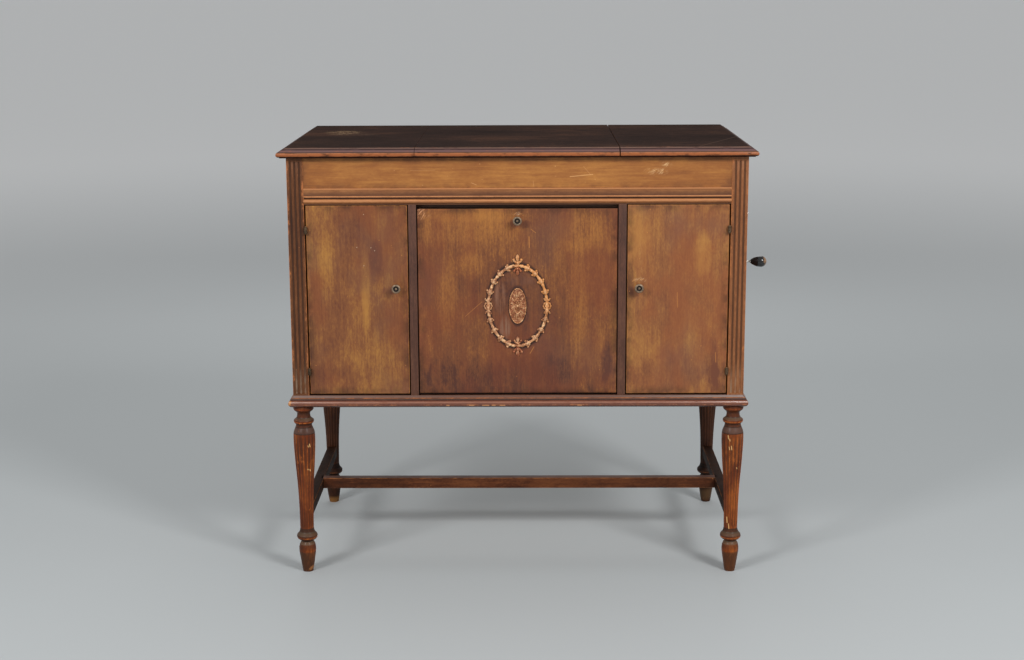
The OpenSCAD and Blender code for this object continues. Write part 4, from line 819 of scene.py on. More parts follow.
def stain_stand():
    """The legs and stretchers; the front legs have dusty collars with a painted grey reflection, a painted highlight on
    the swelling, darker toes and pale chips; the rear legs and side stretchers are darker copies, as painted shade.
    """
    chips = [(-0.459, 0.282, 0.006), (-0.462, 0.279, 0.003), (-0.464, 0.228, 0.002), (-0.460, 0.226, 0.003),
             (0.410, 0.299, 0.007), (0.413, 0.292, 0.004), (0.4125, 0.275, 0.006), (0.417, 0.277, 0.008),
             (0.429, 0.230, 0.003), (0.412, 0.120, 0.012), (0.4155, 0.106, 0.01)]
    stain("leg", "z", (68, 29, 12), (123, 57, 21), (192, 104, 40), patch=16, seed=11.0, gloss=0.3, shine=0.12, coat=0.1,
          # The second spot is a painted highlight on the left leg's swelling.
          spots=[((0.420, 0.19), (0.05, 0.22), 0.13), ((-0.473, 0.287), (0.03, 0.04), 0.13)],
          # The first band is a painted grey reflection on the collar; the next three are dust on a ring and about the
          # ankle, and the last darkens the toes.
          bands=[(0.3033, 0.3150, 0.5, (108, 82, 72)), (0.3310, 0.3360, 0.5, (112, 92, 74)),
                 (0.0800, 0.0880, 0.5, (102, 82, 64)), (0.0600, 0.0670, 0.5, (112, 96, 76)),
                 (0.0, 0.044, 0.45, (62, 48, 32))],
          ruddy=(112, 46, 20), worn=(188, 106, 46), grime=(54, 37, 28), specks=1.0, wear=0.95, contrast=1.35,
          dashes=[((x, z), (x + 0.001, z - long), 0.0013, 0.85, (232, 182, 118)) for x, z, long in chips] + [
              ((-0.466, 0.006), (-0.460, 0.011), 0.004, 0.6, (176, 118, 72))])
    # The rear legs are a darker copy of the leg wood, as painted shade.
    stain("rear_leg", "z", (46, 24, 15), (80, 44, 25), (122, 68, 36), patch=14, seed=14.0, gloss=0.4, shine=0.15,
          worn=(140, 84, 44), grime=(30, 18, 13), wear=0.8,
          dashes=[((-0.475, 0.002), (-0.428, 0.003), 0.016, 0.8, (150, 104, 56)),
                  ((0.384, 0.012), (0.430, 0.02), 0.02, 0.35, (118, 92, 62))])
    stain("rail", "x", (46, 24, 13), (80, 42, 23), (118, 68, 38), patch=9, seed=12.0, shine=0.15, contrast=1.3,
          worn=(186, 120, 68), grime=(40, 24, 18), specks=0.8)
    # The side stretchers are a darker copy of the stretcher wood, as painted shade.
    stain("side_rail", "y", (22, 13, 9), (38, 22, 14), (62, 36, 22), patch=9, seed=12.5, shine=0.05, gloss=0.6,
          coat=0.0, worn=(132, 84, 50), grime=(24, 15, 11))


# ---------------------------------------------------------------- the case
def arc(cu, cv, r, start, end, steps):
    """Points on a circle, from one angle to another in degrees."""
    turns = [math.radians(start + (end - start) * i / steps) for i in range(steps + 1)]
    return [(cu + r * math.cos(t), cv + r * math.sin(t)) for t in turns]


def make_top():
    """Three boards with a moulded edge on the front and the outer ends."""
    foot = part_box("lid")[0].z
    up = [(6.5, 0), (6.5, 1.4)] + arc(5.4, 6.9, 5.4, 270, 108, 14)
    nose = [max(0.0, min(0.8, 1.45 - abs(rise - 7.0) / 3.9)) for inset, rise in up[2:]]
    up += [(5.2, 12.3), (6.4, 13.2), (9, 15.4), (12.6, 17.5), (17, 18.8), (17, 20.2), (19, 20.2)]
    section = [(inset * MM, foot + rise * MM) for inset, rise in up]
    wear = [w * 0.9 for w in [0.0, 0.1] + nose + [0.1, 0.55, 0.35, 0.15, 0.1, 0.6, 0.1]]
    # The cove, and a little of the underside, take the top's hollow colour: a painted pale reflection.
    deep = [0.2, 0.1] + [0.0] * 14 + [0.6, 0.9, 0.9, 0.8, 0.6, 0.3, 0.0, 0.0]
    for node, body, cut in (
            ("left_top", "case", (1, 0, 1, 0)), ("lid", "lid", (0, 0, 1, 0)), ("right_top", "case", (0, 1, 1, 0))):
        board(node + "_board", node, section, WOODS["top"], body, cut, "xy", "dark_top", wear, deep, 0.0006)


def face_board(name, node, finish, body, slot, ease=EASE, foot=0.0):
    """An upright board with eased front edges; foot rounds the lower front edge of the drop front."""
    low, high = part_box(node)
    section = [(2.5 * MM, high.y), (0.0, high.y - 0.6 * MM), (0.0, low.y + ease + 1.5 * MM), (0.0, low.y + ease)]
    for t in (math.radians(22.5 * i) for i in range(1, 5)):
        section.append((ease * (1 - math.cos(t)), low.y + ease * (1 - math.sin(t))))
    section.append((ease * 2.2, low.y))
    wear = [0.0, 0.0, 0.0, 0.1, 0.55, 0.8, 0.5, 0.2, 0.0]
    # The hollow mark paints shade on the board's edges, where they sit in the gaps between parts.
    hollow = [0.0, 0.8, 1.0, 0.8] + [0.0] * 5
    if not foot:
        board(name, node, section, finish, body, (1, 1, 1, 1), "xz", slot, wear, hollow)
        return
    section[2:2] = [(0.0, low.y + foot * share / 7) for share in (6, 5, 4, 3)]
    loops = []
    for inset, y in section:
        short = foot - (y - low.y)
        lift = foot - math.sqrt(max(foot ** 2 - short ** 2, 0.0)) if short > 0 else 0.0
        loops.append([(u, y, max(v, low.z + lift)) for u, v in rect(low, high, "xz", (1, 1, 0, 1), inset)])
    wear = wear[:2] + [0.0] * 4 + [w * 0.4 for w in wear[2:]]
    # The foot's added points, on the sides and the rounded lower edge, take the painted shade too.
    hollow = hollow[:2] + [0.9] * 4 + hollow[2:]
    Shape().skin(loops, wear, hollow).made(name, finish, body, (node,), slot)


def make_post(node, finish):
    """A square front post with three stopped flutes, its corners eased and worn."""
    low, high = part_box(node)
    middle = (low.x + high.x) / 2
    radius, deep, pitch, ease = 2.2 * MM, 1.7 * MM, 9.0 * MM, 0.9 * MM
    z0, z1 = low.z + 6 * MM, high.z - 10 * MM
    stop = (0, 1.0, 1.8, 2.3, 2.6)
    rows = [low.z, low.z + 0.5 * MM] + [z0 - d * MM for d in reversed(stop)]
    rows += [z0 + (z1 - z0) * i / 12 for i in range(1, 12)] + [z1 + d * MM for d in stop] + [high.z]
    corner = [(ease, 0), (0.3 * ease, 0.3 * ease), (0, ease)]
    back = [(high.x - x, low.y + y) for x, y in corner] + [(high.x, high.y), (low.x, high.y)]
    back += [(low.x + x, low.y + y) for x, y in reversed(corner)]
    loops, hollow = [], []
    for z in rows:
        past = max(z0 - z, z - z1, 0.0)
        share = math.sqrt(max(1 - (past / radius) ** 2, 0.0))
        half = math.sqrt(radius ** 2 - (radius - deep) ** 2) * (share or 0.01)
        line = []
        for k in (-1, 0, 1):
            for t in (i / 4 - 1 for i in range(9)):
                dip = (math.sqrt(max(radius ** 2 - (t * half) ** 2, 0)) - (radius - deep)) * share
                line.append((middle + k * pitch + t * half, low.y + max(dip, 0.0)))
        loops.append([(x, y, z) for x, y in line + back])
        hollow.append(([0.0] + [share * 0.6] * 7 + [0.0]) * 3 + [0.0] * 8)
    edge = ([0.25] + [0.0] * 7 + [0.25]) * 3 + [0.5, 0.9, 0.5, 0.1, 0.1, 0.5, 0.9, 0.5]
    shape = Shape().skin(loops, lambda j, i: edge[i], lambda j, i: hollow[j][i])
    shape.made(node + "_fluted", finish, "case", (node,), "post_wood")


def make_head():
    """The reeded moulding over the doors."""
    low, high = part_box("head_moulding")
    face = low.y + 4.2 * MM
    roll = arc(-0.6, 7.2, 4.8, -75, 75, 12)
    up = [(0, 0), (0, 2)] + roll + [(-1.4, 12.6), (-1.4, 14.2), (0.6, 14.2)]
    up += arc(0.4, 16.4, 1.4, -80, 80, 6) + [(0.6, 18.6), (0.6, 30.1)] + arc(0.4, 31.8, 1.5, -80, 80, 6)
    section = [(face - out * MM, low.z + rise * MM) for out, rise in up] + [(high.y, high.z), (high.y, low.z)]
    loops = []
    for i in range(25):
        x = low.x + (high.x - low.x) * i / 24
        loops.append([(x, y, z) for y, z in section])
    wear = [0.2, 0.1] + [max(0, 1 - abs(rise - 8.6) / 3.4) for out, rise in roll]
    wear += [0, 0, 0.2] + [0.7] * 7 + [0.2, 0.2] + [0.8] * 7 + [0, 0]
    hollow = [0.6, 0.9, 0.5] + [0] * 11 + [0.8, 1, 1, 0.9] + [0.2] * 7 + [0.8, 0.1] + [0.1] * 7 + [0, 0]
    shape = Shape().skin(loops, lambda j, i: wear[i], lambda j, i: hollow[i])
    shape.made("head_moulding_reeded", WOODS["moulding"], "case", ("head_moulding",), "moulding_wood")


def make_base():
    """Base frame round an open middle, with a half round worn at the nose and a sloped top."""
    low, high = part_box("base_frame")
    inner = 61
    roll = arc(8, 8, 8, 270, 118, 16)
    up = [(inner, 0), (8, 0)] + roll + [(3.9, 15.2), (3.7, 16.7), (6.6, 19.6), (7.2, 19.8), (9.6, 24.1), (inner, 24.1)]
    wear = [0, 0] + [max(0.0, 1 - abs(rise - 6) / 6.5) * 0.55 for inset, rise in roll] + [0.0, 0.1, 0.7, 0.4, 0.0, 0]
    hollow = [0.4, 0.4] + [0.3] * 2 + [0] * 15 + [0.9, 0.9, 0.4, 0.6, 0.55, 0.3]
    loops = []
    for inset, rise in up:
        cut = (1, 1, 1, 1 if inset == inner else 0)
        loops.append([(x, y, low.z + rise * MM) for x, y in rect(low, high, "xy", cut, inset * MM, 0.0018)])
    shape = Shape().skin(loops, wear, hollow, ring=True)
    shape.made("base_frame_moulded", WOODS["base"], "case", ("base_frame",), "moulding_wood")


# ---------------------------------------------------------------- the stand
# the turned outline, as shares of the widest radius and of the height
LEG_TURNING = [
    (0.465, 0), (0.51, 0.013), (0.59, 0.043), (0.66, 0.075), (0.735, 0.105), (0.775, 0.124), (0.78, 0.137),
    (0.765, 0.151), (0.715, 0.166), (0.64, 0.176), (0.54, 0.184), (0.56, 0.1885), (0.65, 0.191), (0.83, 0.198),
    (0.93, 0.206), (0.955, 0.2155), (0.925, 0.2245), (0.86, 0.23), (0.71, 0.24), (0.625, 0.2585), (0.632, 0.307),
    (0.645, 0.368), (0.667, 0.429), (0.706, 0.489), (0.763, 0.55), (0.838, 0.61), (0.908, 0.67), (0.96, 0.73),
    (0.99, 0.77), (1, 0.795), (0.995, 0.82), (0.985, 0.834), (0.935, 0.848), (0.85, 0.861), (0.77, 0.873),
    (0.725, 0.884), (0.733, 0.891), (0.86, 0.8965), (0.915, 0.903), (0.925, 0.909), (0.89, 0.9155), (0.81, 0.919),
    (0.655, 0.927), (0.6, 0.939), (0.583, 0.951), (0.615, 0.9585), (0.69, 0.9635), (0.83, 0.97), (0.91, 0.976),
    (0.94, 0.984), (0.925, 0.9935), (0.89, 1)]
LEG_TALL, LEG_WIDE = 361.9 * MM, 22.8 * MM
# rubbed rings: where on the height, how far they reach and how strong they are
LEG_CRESTS = ((0.130, 0.020, 0.4), (0.209, 0.009, 0.75), (0.904, 0.008, 0.75), (0.981, 0.008, 0.55))


def dust_of(share):
    """How dusty a leg is at a share of its height; the fluted part between the rings is clean."""
    if 0.835 < share < 0.875:
        return 0.85
    return 0.6 if share > 0.875 else 0.55 if share < 0.19 else 0.75 if share < 0.265 else 0.0


def leg_outline():
    """The turned outline as a mesh of edges with its marks, and its number of points."""
    outline = dense(rounded([(r * LEG_WIDE, h * LEG_TALL) for r, h in LEG_TURNING], 0.004, 3), 0.006)
    wear, hollow = [], []
    for (r, h), bend in zip(outline, bends(outline)):
        share = h / LEG_TALL
        # A painted highlight on the swelling, carried in the wear mark.
        swelling_highlight = max(0.0, 1 - abs(share - 0.68) / 0.2) * 0.4
        crest = max(max(0.0, 1 - abs(share - at) / reach) * top for at, reach, top in LEG_CRESTS)
        wear.append(min(max(bend * 1.4, crest * 0.95), 0.95) + (0.4 if share < 0.035 else 0.0) + swelling_highlight)
        hollow.append(max(min(min(max(-bend * 1.6, 0.0), 0.9) + dust_of(share), 1.0) - crest, 0.0))
    line = bpy.data.meshes.new("leg_outline")
    line.from_pydata([(r, 0, h) for r, h in outline], [(i, i + 1) for i in range(len(outline) - 1)], [])
    marked(line, {"wear": wear, "hollow": hollow})
    return line, len(outline)


def make_legs(row_name, nodes, finish):
    """A row of turned legs, their swelling cut with flutes that stop under the collar."""
    line, points = leg_outline()
    (left, depth, _), (right, _, _) = (middle_of(node) for node in nodes)
    tree = Pattern("fluted_legs", finish, outline=bpy.data.objects.new("leg_outline", line), rows=points, around=128,
                   height=LEG_TALL, flutes=16, flute_depth=1.5 * MM, flute_foot=0.262, flute_head=0.842,
                   legs=len(nodes), left=left, right=right, depth_place=depth)
    rows = tree.size("Rows")
    drum = tree.node("GeometryNodeMeshCylinder", {}, {
        "Vertices": tree.size("Around"), "Side Segments": rows - 1, "Radius": 1.0, "Depth": rows - 1})
    x, y, z = tree.parts(tree.node("GeometryNodeInputPosition"))
    row = tree.calc("ROUND", z + (rows - 1) / 2)

    def read(kind, value):
        """A value of the outline at the point's row."""
        return tree.node("GeometryNodeSampleIndex", {"data_type": kind, "clamp": True}, {
            "Geometry": tree.solid("Outline"), "Value": value, "Index": row})

    radius, _, height = tree.parts(read("FLOAT_VECTOR", tree.node("GeometryNodeInputPosition")))
    turn = tree.angle(y, x)
    share = height / tree.size("Height")
    rise = ((share - tree.size("Flute foot")) / 0.02).held()
    fall = ((tree.size("Flute head") - share) / 0.05).held() ** 0.5
    deep = rise * fall * (((share - 0.45) / 0.2).held() * 0.25 + 0.75)
    groove = tree.calc("SINE", tree.calc("FRACT", turn * tree.size("Flutes") / (2 * math.pi)) * math.pi)
    dip = deep * groove.high(0.0) ** 0.7
    radius = radius - dip * tree.size("Flute depth")
    for key, extra in (("wear", deep * groove.step(0.3, 0.0) * 0.3), ("hollow", dip * 0.68)):
        mark = tree.node("GeometryNodeInputNamedAttribute", {"data_type": "FLOAT"}, {"Name": key})
        drum = tree.node("GeometryNodeStoreNamedAttribute", {"data_type": "FLOAT", "domain": "POINT"}, {
            "Geometry": drum, "Name": key, "Value": read("FLOAT", mark) + extra})
    place = tree.vector(radius * tree.calc("COSINE", turn), radius * tree.calc("SINE", turn), height)
    shaped = tree.node("GeometryNodeSetPosition", {}, {"Geometry": drum, "Position": place})
    across = tree.size("Left") + tree.node("GeometryNodeInputIndex") * (tree.size("Right") - tree.size("Left"))
    spot = tree.vector(across, tree.size("Depth place"), 0.0)
    last = tree.laid(shaped, tree.size("Legs"), spot, tree.vector(0.0, 0.0, 0.0))
    mesh = tree.applied(last, bpy.data.meshes.new("legs"), "legs")
    dressed(row_name + "_legs_turned", mesh, finish, "case", nodes, 30)


def rail(shape, start, end, low, high, along):
    """A stretcher with eased corners, whose ends go into the legs."""
    half, ease, pieces = 11 * MM, 2.0 * MM, 16
    ring = []
    for su, sv, begin in ((1, -1, -90), (1, 1, 0), (-1, 1, 90), (-1, -1, 180)):
        for t in (math.radians(begin + 22.5 * i) for i in range(5)):
            level = high if sv > 0 else low
            ring.append((su * (half - ease) + ease * math.cos(t), level - sv * ease + ease * math.sin(t)))
    loops = []
    for i in range(pieces + 1):
        x, y = (start[k] + (end[k] - start[k]) * i / pieces for k in range(2))
        loops.append([(x, y + u, v) if along == "x" else (x + u, y, v) for u, v in ring])
    edges = [0.0, 0.35, 0.75, 0.35, 0.0] * 4
    shape.skin(loops, lambda j, i: edges[i])


def make_stretchers():
    """Two side stretchers from front to rear leg and the cross stretcher between them."""
    low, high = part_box("side_stretchers")
    inside = 10 * MM
    sides = Shape()
    for side in ("left", "right"):
        x, front, _ = middle_of("front_" + side + "_leg")
        back = middle_of("rear_left_leg")[1]
        rail(sides, (x, front + inside), (x, back - inside), low.z, high.z, "y")
    sides.made("side_stretchers_eased", WOODS["side_rail"], "case", ("side_stretchers",), "leg_wood")
    low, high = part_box("cross_stretcher")
    y = (low.y + high.y) / 2
    cross = Shape()
    rail(cross, (low.x, y), (high.x, y), low.z, high.z, "x")
    cross.made("cross_stretcher_eased", WOODS["rail"], "case", ("cross_stretcher",), "leg_wood")


# ---------------------------------------------------------------- knobs and ornament
def make_knob(node, body, finish):
    """A turned knob with a rolled rim and a button in its dished face."""
    low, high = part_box(node)
    x, _, z = middle_of(node)
    r, reach = (high.x - low.x) / 2, 19 * MM
    side = [(0.0, 0.0), (r * 0.66, 0.0), (r * 0.66, 0.0012), (r * 0.45, 0.0022)]
    side += [(r * 0.4, reach * 0.45), (r * 0.62, reach * 0.62)]
    side += arc(r - 1.6 * MM, reach - 2.6 * MM, 1.6 * MM, -60, 60, 6)
    side += [(r * share, reach - short * MM) for share, short in
             ((0.74, 0.4), (0.62, 0.7), (0.54, 2.4), (0.3, 2.6), (0.26, 1.6), (0.16, 0.5), (0.0, 0.2))]
    side = rounded(side, 0.0005, 2)
    hollow = [float(reach * 0.1 < h < reach * 0.62 or (r * 0.28 < q < r * 0.6 and h > reach * 0.7)) for q, h in side]
    shape = lathe([(q, -h) for q, h in side], (x, low.y + reach, z), "y", 48, hollow)
    shape.made(node + "_turned", finish, body, (node,), "knob_metal", 50)


def make_crank_knob(finish):
    """The crank's egg-shaped grip."""
    low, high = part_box("crank_knob")
    length, half = high.x - low.x, (high.y - low.y) / 2
    side = [(r * MM, h * MM) for r, h in ((0, 0), (3.6, 0), (5, 1), (6.8, 4), (9.4, 9), (11.3, 14))]
    side += arc(0, length - half, half, 0, 90, 10)
    side = dense(rounded(side, 0.002, 3), 0.0015)
    shape = lathe(side, (low.x, (low.y + high.y) / 2, (low.z + high.z) / 2), "x", 48)
    shape.made("crank_grip", finish, "crank_knob", ("crank_knob",), "black_wood", 50)


class Relief(Shape):
    """Ornament in relief, in mm: across and up from a middle on the face, and out of the face."""

    def __init__(self, middle=(0.0, 0.0, 0.0)):
        super().__init__()
        self.middle = middle

    def at(self, across, up, out):
        """A place in the row frame, in metres."""
        x, y, z = self.middle
        return x + across * MM, y - out * MM, z + up * MM

    def oval(self, x, z, a, b, out, steps):
        """An oval loop parallel to the face."""
        turns = [2 * math.pi * i / steps for i in range(steps)]
        return [self.at(x + a * math.cos(t), z + b * math.sin(t), out) for t in turns]

    def petal(self, foot, tip, width, out, swell=0.55, red=0.0):
        """A small leaf from foot to tip, with a raised middle rib."""
        dx, dz = tip[0] - foot[0], tip[1] - foot[1]
        length = math.hypot(dx, dz)
        loops = []
        for s in (i / 9 for i in range(10)):
            if s < swell:
                half = width * math.sin(math.pi * min(s / (2 * swell), 1.0))
            else:
                half = width * math.cos(math.pi / 2 * (s - swell) / (1 - swell)) ** 0.8
            half = max(half, width * 0.06) / length
            top = out * (0.55 + 0.45 * math.sin(math.pi * min(s + 0.15, 1.0)))
            x, z = foot[0] + dx * s, foot[1] + dz * s
            right = [(0, 1.0), (0.16, 0.86), (0.5, 0.82), (0.92, 0.55), (1, 0.0)]
            across = [(-u, high) for u, high in reversed(right[1:])] + right
            loops.append([self.at(x - dz * half * u, z + dx * half * u, top * high) for u, high in across])
        hollow = [1.0, 0.45, 0.0, 0.3, 0.0, 0.3, 0.0, 0.45, 1.0]
        self.skin(loops, 0.0, lambda j, i: hollow[i], red)

    def bead(self, x, z, r, out, red=0.0, squash=1.0):
        """A domed boss."""
        loops = []
        for t in (math.pi / 2 * i / 5 for i in range(6)):
            q = max(r * math.cos(t), r * 0.02)
            loops.append(self.oval(x, z, q, q * squash, out * math.sin(t), 16))
        self.skin(loops, 0.0, [0.9, 0.3, 0, 0, 0, 0], red)

    def rope(self, a, b, half, out, ripple=0.0, steps=144):
        """A raised oval band, rippled like a bound stem."""
        loops = []
        for t in (2 * math.pi * i / steps for i in range(steps)):
            nx, nz = math.cos(t) * b, math.sin(t) * a
            n = math.hypot(nx, nz)
            swell = 1 + ripple * math.sin(t * 36)
            loop = []
            for q in (math.pi * k / 7 for k in range(8)):
                w = half * swell * math.cos(q)
                x, z = a * math.cos(t) + nx / n * w, b * math.sin(t) + nz / n * w
                loop.append(self.at(x, z, out * math.sin(q) * swell))
            loops.append(loop)
        self.skin(loops, 0.0, lambda j, i: 0.8 if i in (0, 7) else 0.0, ring=True)

    def rosette(self, x):
        """A dished field in a waved ring, with a smaller ring and a boss in it."""
        for ring, out, wave in ((7.4, 2.8, 0.09), (3.2, 3.4, 0.0)):
            loops = []
            for t in (2 * math.pi * i / 32 for i in range(32)):
                loop = []
                for q in (math.pi * k / 6 for k in range(7)):
                    r = ring * (1 + wave * math.cos(8 * t)) + 1.6 * math.cos(q)
                    loop.append(self.at(x + r * math.cos(t), r * math.sin(t), out * math.sin(q)))
                loops.append(loop)
            self.skin(loops, 0.0, lambda j, i: 0.8 if i in (0, 6) else 0.0, ring=True)
        self.skin([self.oval(x, 0, r, r, out, 32) for r, out in ((7.2, 0.0), (7.2, 0.9), (0.3, 0.9))], 0.0, 1.0)
        self.bead(x, 0, 1.7, 3.4)


def round_of(name, finish, base_mesh, leaf, count, middle, half_width, half_height, foot, tip):
    """Repeats a 10 mm leaf round an oval, each one stretched from foot to tip as shares of the oval."""
    tree = Pattern(name, finish, leaf=leaf.stamp("leaf"), count=count, middle=tuple(middle), half_width=half_width,
                   half_height=half_height, foot=foot, tip=tip, first=0.5)
    turn = (tree.node("GeometryNodeInputIndex") + tree.size("First")) * 2 * math.pi / tree.size("Count")
    across = tree.calc("COSINE", turn) * tree.size("Half width")
    up = tree.calc("SINE", turn) * tree.size("Half height")
    reach = tree.size("Tip") - tree.size("Foot")
    length = ((across * reach) ** 2.0 + (up * reach) ** 2.0) ** 0.5
    x, y, z = tree.parts(tree.size("Middle"))
    spot = tree.vector(x + across * tree.size("Foot"), y, z + up * tree.size("Foot"))
    turned = tree.vector(0.0, tree.angle(up, across) * -1.0, 0.0)
    last = tree.laid(tree.solid("Leaf"), tree.size("Count"), spot, turned, tree.vector(length / (10 * MM), 1.0, 1.0))
    return tree.applied(last, base_mesh, name)


def husk_wreath(finish, base_mesh, husk, middle, half_width, half_height):
    """Repeats a husk along the oval stem, mirrored in its four quarters."""
    tree = Pattern("husk_wreath", finish, husk=husk.stamp("husk"), middle=tuple(middle), half_width=half_width,
                   half_height=half_height, per_quarter=4, first_turn=21.0, turn_step=16.7)
    index, each = tree.node("GeometryNodeInputIndex"), tree.size("Per quarter")
    quarter = tree.calc("FLOOR", (index + 0.01) / each)
    turn = (tree.size("First turn") + (index - quarter * each) * tree.size("Turn step")) * math.pi / 180
    half = tree.calc("FLOOR", (quarter + 0.01) / 2)
    side, rise = 1.0 - (quarter - half * 2) * 2, 1.0 - half * 2
    wide, tall = side * tree.size("Half width"), rise * tree.size("Half height")
    cos, sin = tree.calc("COSINE", turn), tree.calc("SINE", turn)
    x, y, z = tree.parts(tree.size("Middle"))
    turned = tree.vector(0.0, tree.angle(tall * cos, wide * sin * -1.0) * -1.0, 0.0)
    last = tree.laid(tree.solid("Husk"), each * 4, tree.vector(x + wide * cos, y, z + tall * sin), turned)
    return tree.applied(last, base_mesh, "husk_wreath")


def leaf_of(width, out, swell=0.55):
    """A leaf 10 mm long, for round_of to repeat."""
    leaf = Relief()
    leaf.petal((0, 0), (10, 0), width, out, swell)
    return leaf


def make_wreath(finish):
    """Oval wreath of husks on a bound stem, with rosettes at the sides and palmettes above and below."""
    x, _, z = middle_of("wreath")
    middle = (x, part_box("wreath")[1].y, z)
    a, b = 60, 83
    wreath = Relief(middle)
    wreath.rope(a, b, 3.2, 3.2, 0.18)
    for sx in (-1, 1):
        wreath.rosette(sx * a)
        for sz in (-1, 1):
            for side in (-1, 1):
                wreath.petal((sx * a, sz * 8), (sx * a + side * 6.6, sz * 15.5), 2.6, 3.2)
                wreath.bead(sx * a + side * 5.8, sz * 14.8, 1.7, 3.0)
            wreath.petal((sx * a, sz * 8), (sx * (a - 0.8), sz * 19), 3.4, 3.6)
    for place, way, size, red in ((-b, 1, 0.84, 0.35), (-b, -1, 1.0, 0.75), (b, -1, 0.84, 0.9), (b, 1, 1.0, 0.0)):
        grow = way * size
        wreath.petal((0, place + 7 * grow), (0, place + 23.5 * grow), 4.4 * size, 3.9, 0.62, red)
        for side in (-size, size):
            foot, tip = (side * 0.8, place + 3 * grow), (side * 9.0, place + 13 * grow)
            wreath.petal(foot, tip, 2.6 * size, 3.4, 0.66, red)
            wreath.bead(side * 7.8, place + 12.6 * grow, 2.9 * size, 3.2, red)
            wreath.petal((side * 0.6, place - grow), (side * 1.6, place + 13 * grow), 2.2 * size, 3.4, red=red)
        wreath.bead(0, place + 6.5 * grow, 2.9 * size, 4.0, red)
    for side in (-1, 1):
        for sz in (-1, 1):
            up = sz * b * 0.997
            wreath.petal((side * 2, up), (side * 15, up - sz * 0.6), 4.0, 3.6, 0.5)
    husk = Relief()
    husk.petal((-8, 0), (9, 0), 4.8, 4.3)
    for side in (-1, 1):
        husk.petal((-6, 0), (1.2, side * 6.6), 3.0, 3.4, 0.6)
        husk.bead(1.2, side * 6.2, 2.5, 3.5)
    mesh = husk_wreath(finish, wreath.mesh("wreath", True), husk, middle, a * MM, b * MM)
    for sx in (-1, 1):
        centre = wreath.at(sx * a, 0, 0)
        mesh = round_of("rosette", finish, mesh, leaf_of(1.1, 2.4), 8, centre, 1.0, 1.0, 2.4 * MM, 7.0 * MM)
    dressed("wreath_relief", mesh, finish, "drop_front", ("wreath",), 60)


def make_patera(finish):
    """Oval patera: a beaded rim, a dished field, pointed rays and a flower in the middle."""
    low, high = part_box("patera")
    middle = ((low.x + high.x) / 2, high.y, (low.z + high.z) / 2)
    a, b = ((high[k] - low[k]) / 2 for k in (0, 2))
    wide, tall, rim = a / MM, b / MM, 1.3
    patera = Relief(middle)
    field = ((0.98, 0.0), (0.95, 1.1), (0.86, 1.2), (0.6, 0.9), (0.3, 0.9), (0.02, 0.9))
    patera.skin([patera.oval(0, 0, wide * share, tall * share, out, 72) for share, out in field],
                0.0, [0.3, 0.3, 0.3, 0.24, 0.2, 0.15], 0.6)
    patera.rope(wide - rim, tall - rim, rim, 3.0, 0.1)
    patera.rope(wide * 0.42, tall * 0.42, 0.8, 2.4, 0.0, 72)
    patera.bead(0, 0, 1.9, 3.4, 0.0, 1.5)
    mesh = patera.mesh("patera", True)
    mesh = round_of("patera_rays", finish, mesh, leaf_of(2.0, 3.0, 0.7), 16, middle, a, b, 0.45, 0.86)
    mesh = round_of("patera_flower", finish, mesh, leaf_of(1.5, 3.0, 0.6), 10, middle, a, b, 0.1, 0.38)
    dressed("patera_relief", mesh, finish, "drop_front", ("patera",), 60)


# ---------------------------------------------------------------- build
set_camera()
set_light()
set_floor()

stain_doors()
stain_drop_front()
stain_case()
stain_stand()
knob_metal = metal("knob_bronze", (136, 114, 92), (24, 18, 15), 0.42, 0.45, metallic=0.4, scale=200.0)
hinge_metal = metal("dark_hinge_brass", (112, 92, 72), (36, 28, 24), 0.5, 0.7)
brass = metal("works_brass", (196, 164, 98), (120, 88, 50), 0.32, 0.5)
nickel = metal("worn_nickel", (190, 186, 178), (120, 110, 96), 0.28, 0.45)
steel = metal("bright_steel", (170, 170, 172), (92, 84, 76), 0.3, 0.35)
iron = metal("black_iron", (46, 46, 48), (30, 24, 22), 0.5, 0.5, metallic=0.3)
gilt = ornament_finish()
inner_z = plain_wood("inner_upright_wood", "z", (120, 84, 54), (170, 128, 86))
inner_x = plain_wood("inner_cross_wood", "x", (120, 84, 54), (170, 128, 86))
inner_y = plain_wood("inner_deep_wood", "y", (124, 88, 56), (174, 132, 90))
well = plain_wood("well_wood", "x", (84, 50, 34), (122, 78, 50), 0.42)

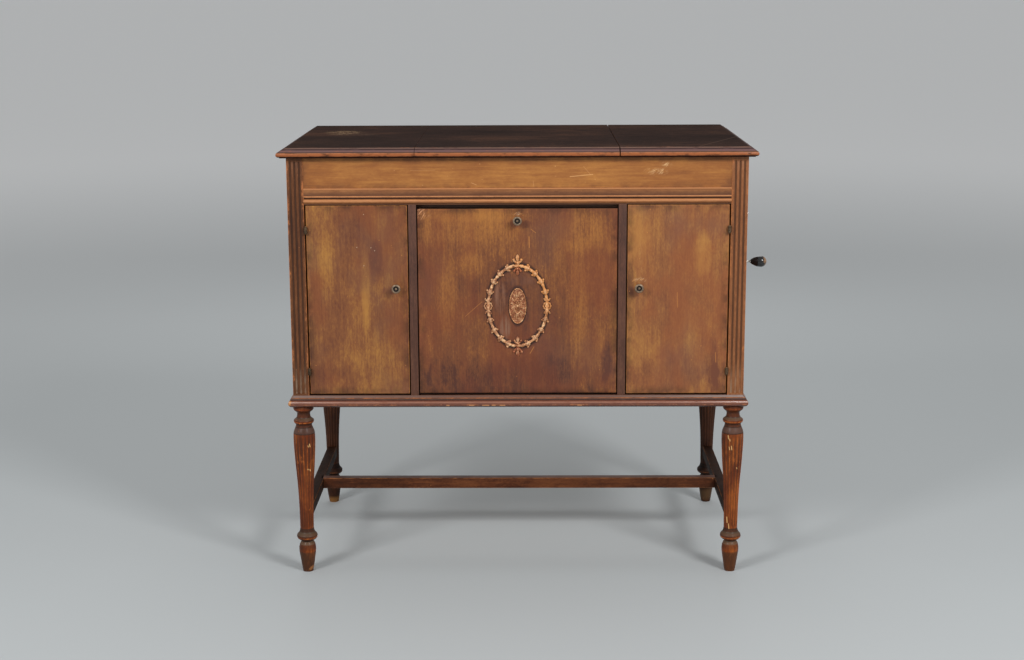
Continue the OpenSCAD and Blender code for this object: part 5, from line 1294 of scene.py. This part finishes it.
make_top()
face_board("left_door_face", "left_door", WOODS["left_door"], "left_door", "panel_wood")
face_board("right_door_face", "right_door", WOODS["right_door"], "right_door", "panel_wood")
face_board("drop_front_face", "drop_front", WOODS["drop_front"], "drop_front", "panel_wood", foot=0.007)
face_board("frieze_face", "frieze_board", WOODS["frieze"], "case", "frieze_wood", 0.0006)
make_post("front_left_post", WOODS["left_post"])
make_post("front_right_post", WOODS["right_post"])
make_head()
make_base()
make_legs("front", ("front_left_leg", "front_right_leg"), WOODS["leg"])
make_legs("rear", ("rear_left_leg", "rear_right_leg"), WOODS["rear_leg"])
make_stretchers()
make_knob("left_knob", "left_door", knob_metal)
make_knob("right_knob", "right_door", knob_metal)
make_knob("drop_front_knob", "drop_front", knob_metal)
make_wreath(gilt)
make_patera(gilt)
make_crank_knob(lacquer())
for node, width, finish, body, slot in (
        ("stiles", 0.0015, WOODS["stile"], "case", "post_wood"),
        ("rear_posts", 0.0008, WOODS["post"], "case", "post_wood"),
        ("left_side_panel", 0.0005, WOODS["side"], "case", "case_wood"),
        ("right_side_panel", 0.0005, WOODS["side"], "case", "case_wood"),
        ("front_hinge_fixed", 0.0003, hinge_metal, "case", "hinge_metal"),
        ("left_door_hinges", 0.0003, hinge_metal, "left_door", "hinge_metal"),
        ("right_door_hinges", 0.0003, hinge_metal, "right_door", "hinge_metal"),
        ("grille", 0.0008, well, "case", "case_wood"),
        ("crank", 0.0005, nickel, "crank", "nickel")):
    eased(node, width, finish, body)

# CAD nodes that stay in view as they are, each with its finish
for finish, nodes in (
        (inner_z, ("back_panel", "left_partition", "right_partition", "record_racks")),
        (inner_x, ("bottom_board",)),
        (inner_y, ("cleats", "horn_boards")),
        (well, ("motor_board",)),
        (brass, ("lid_fixed_fittings", "lid_hinge_moving", "lid_stay", "crank_escutcheon", "spring_barrel",
                 "winding_gear", "intermediate_gear", "governor", "needle_cups", "screws")),
        (nickel, ("tone_arm_base", "tone_arm", "sound_box", "brake_lever", "speed_regulator", "turntable")),
        (steel, ("spindle",)),
        (iron, ("motor_frame", "horn_elbow")),
        (felt_cloth(), ("turntable_felt",))):
    for node in nodes:
        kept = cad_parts[node].data
        kept.materials.clear()
        kept.materials.append(finish)
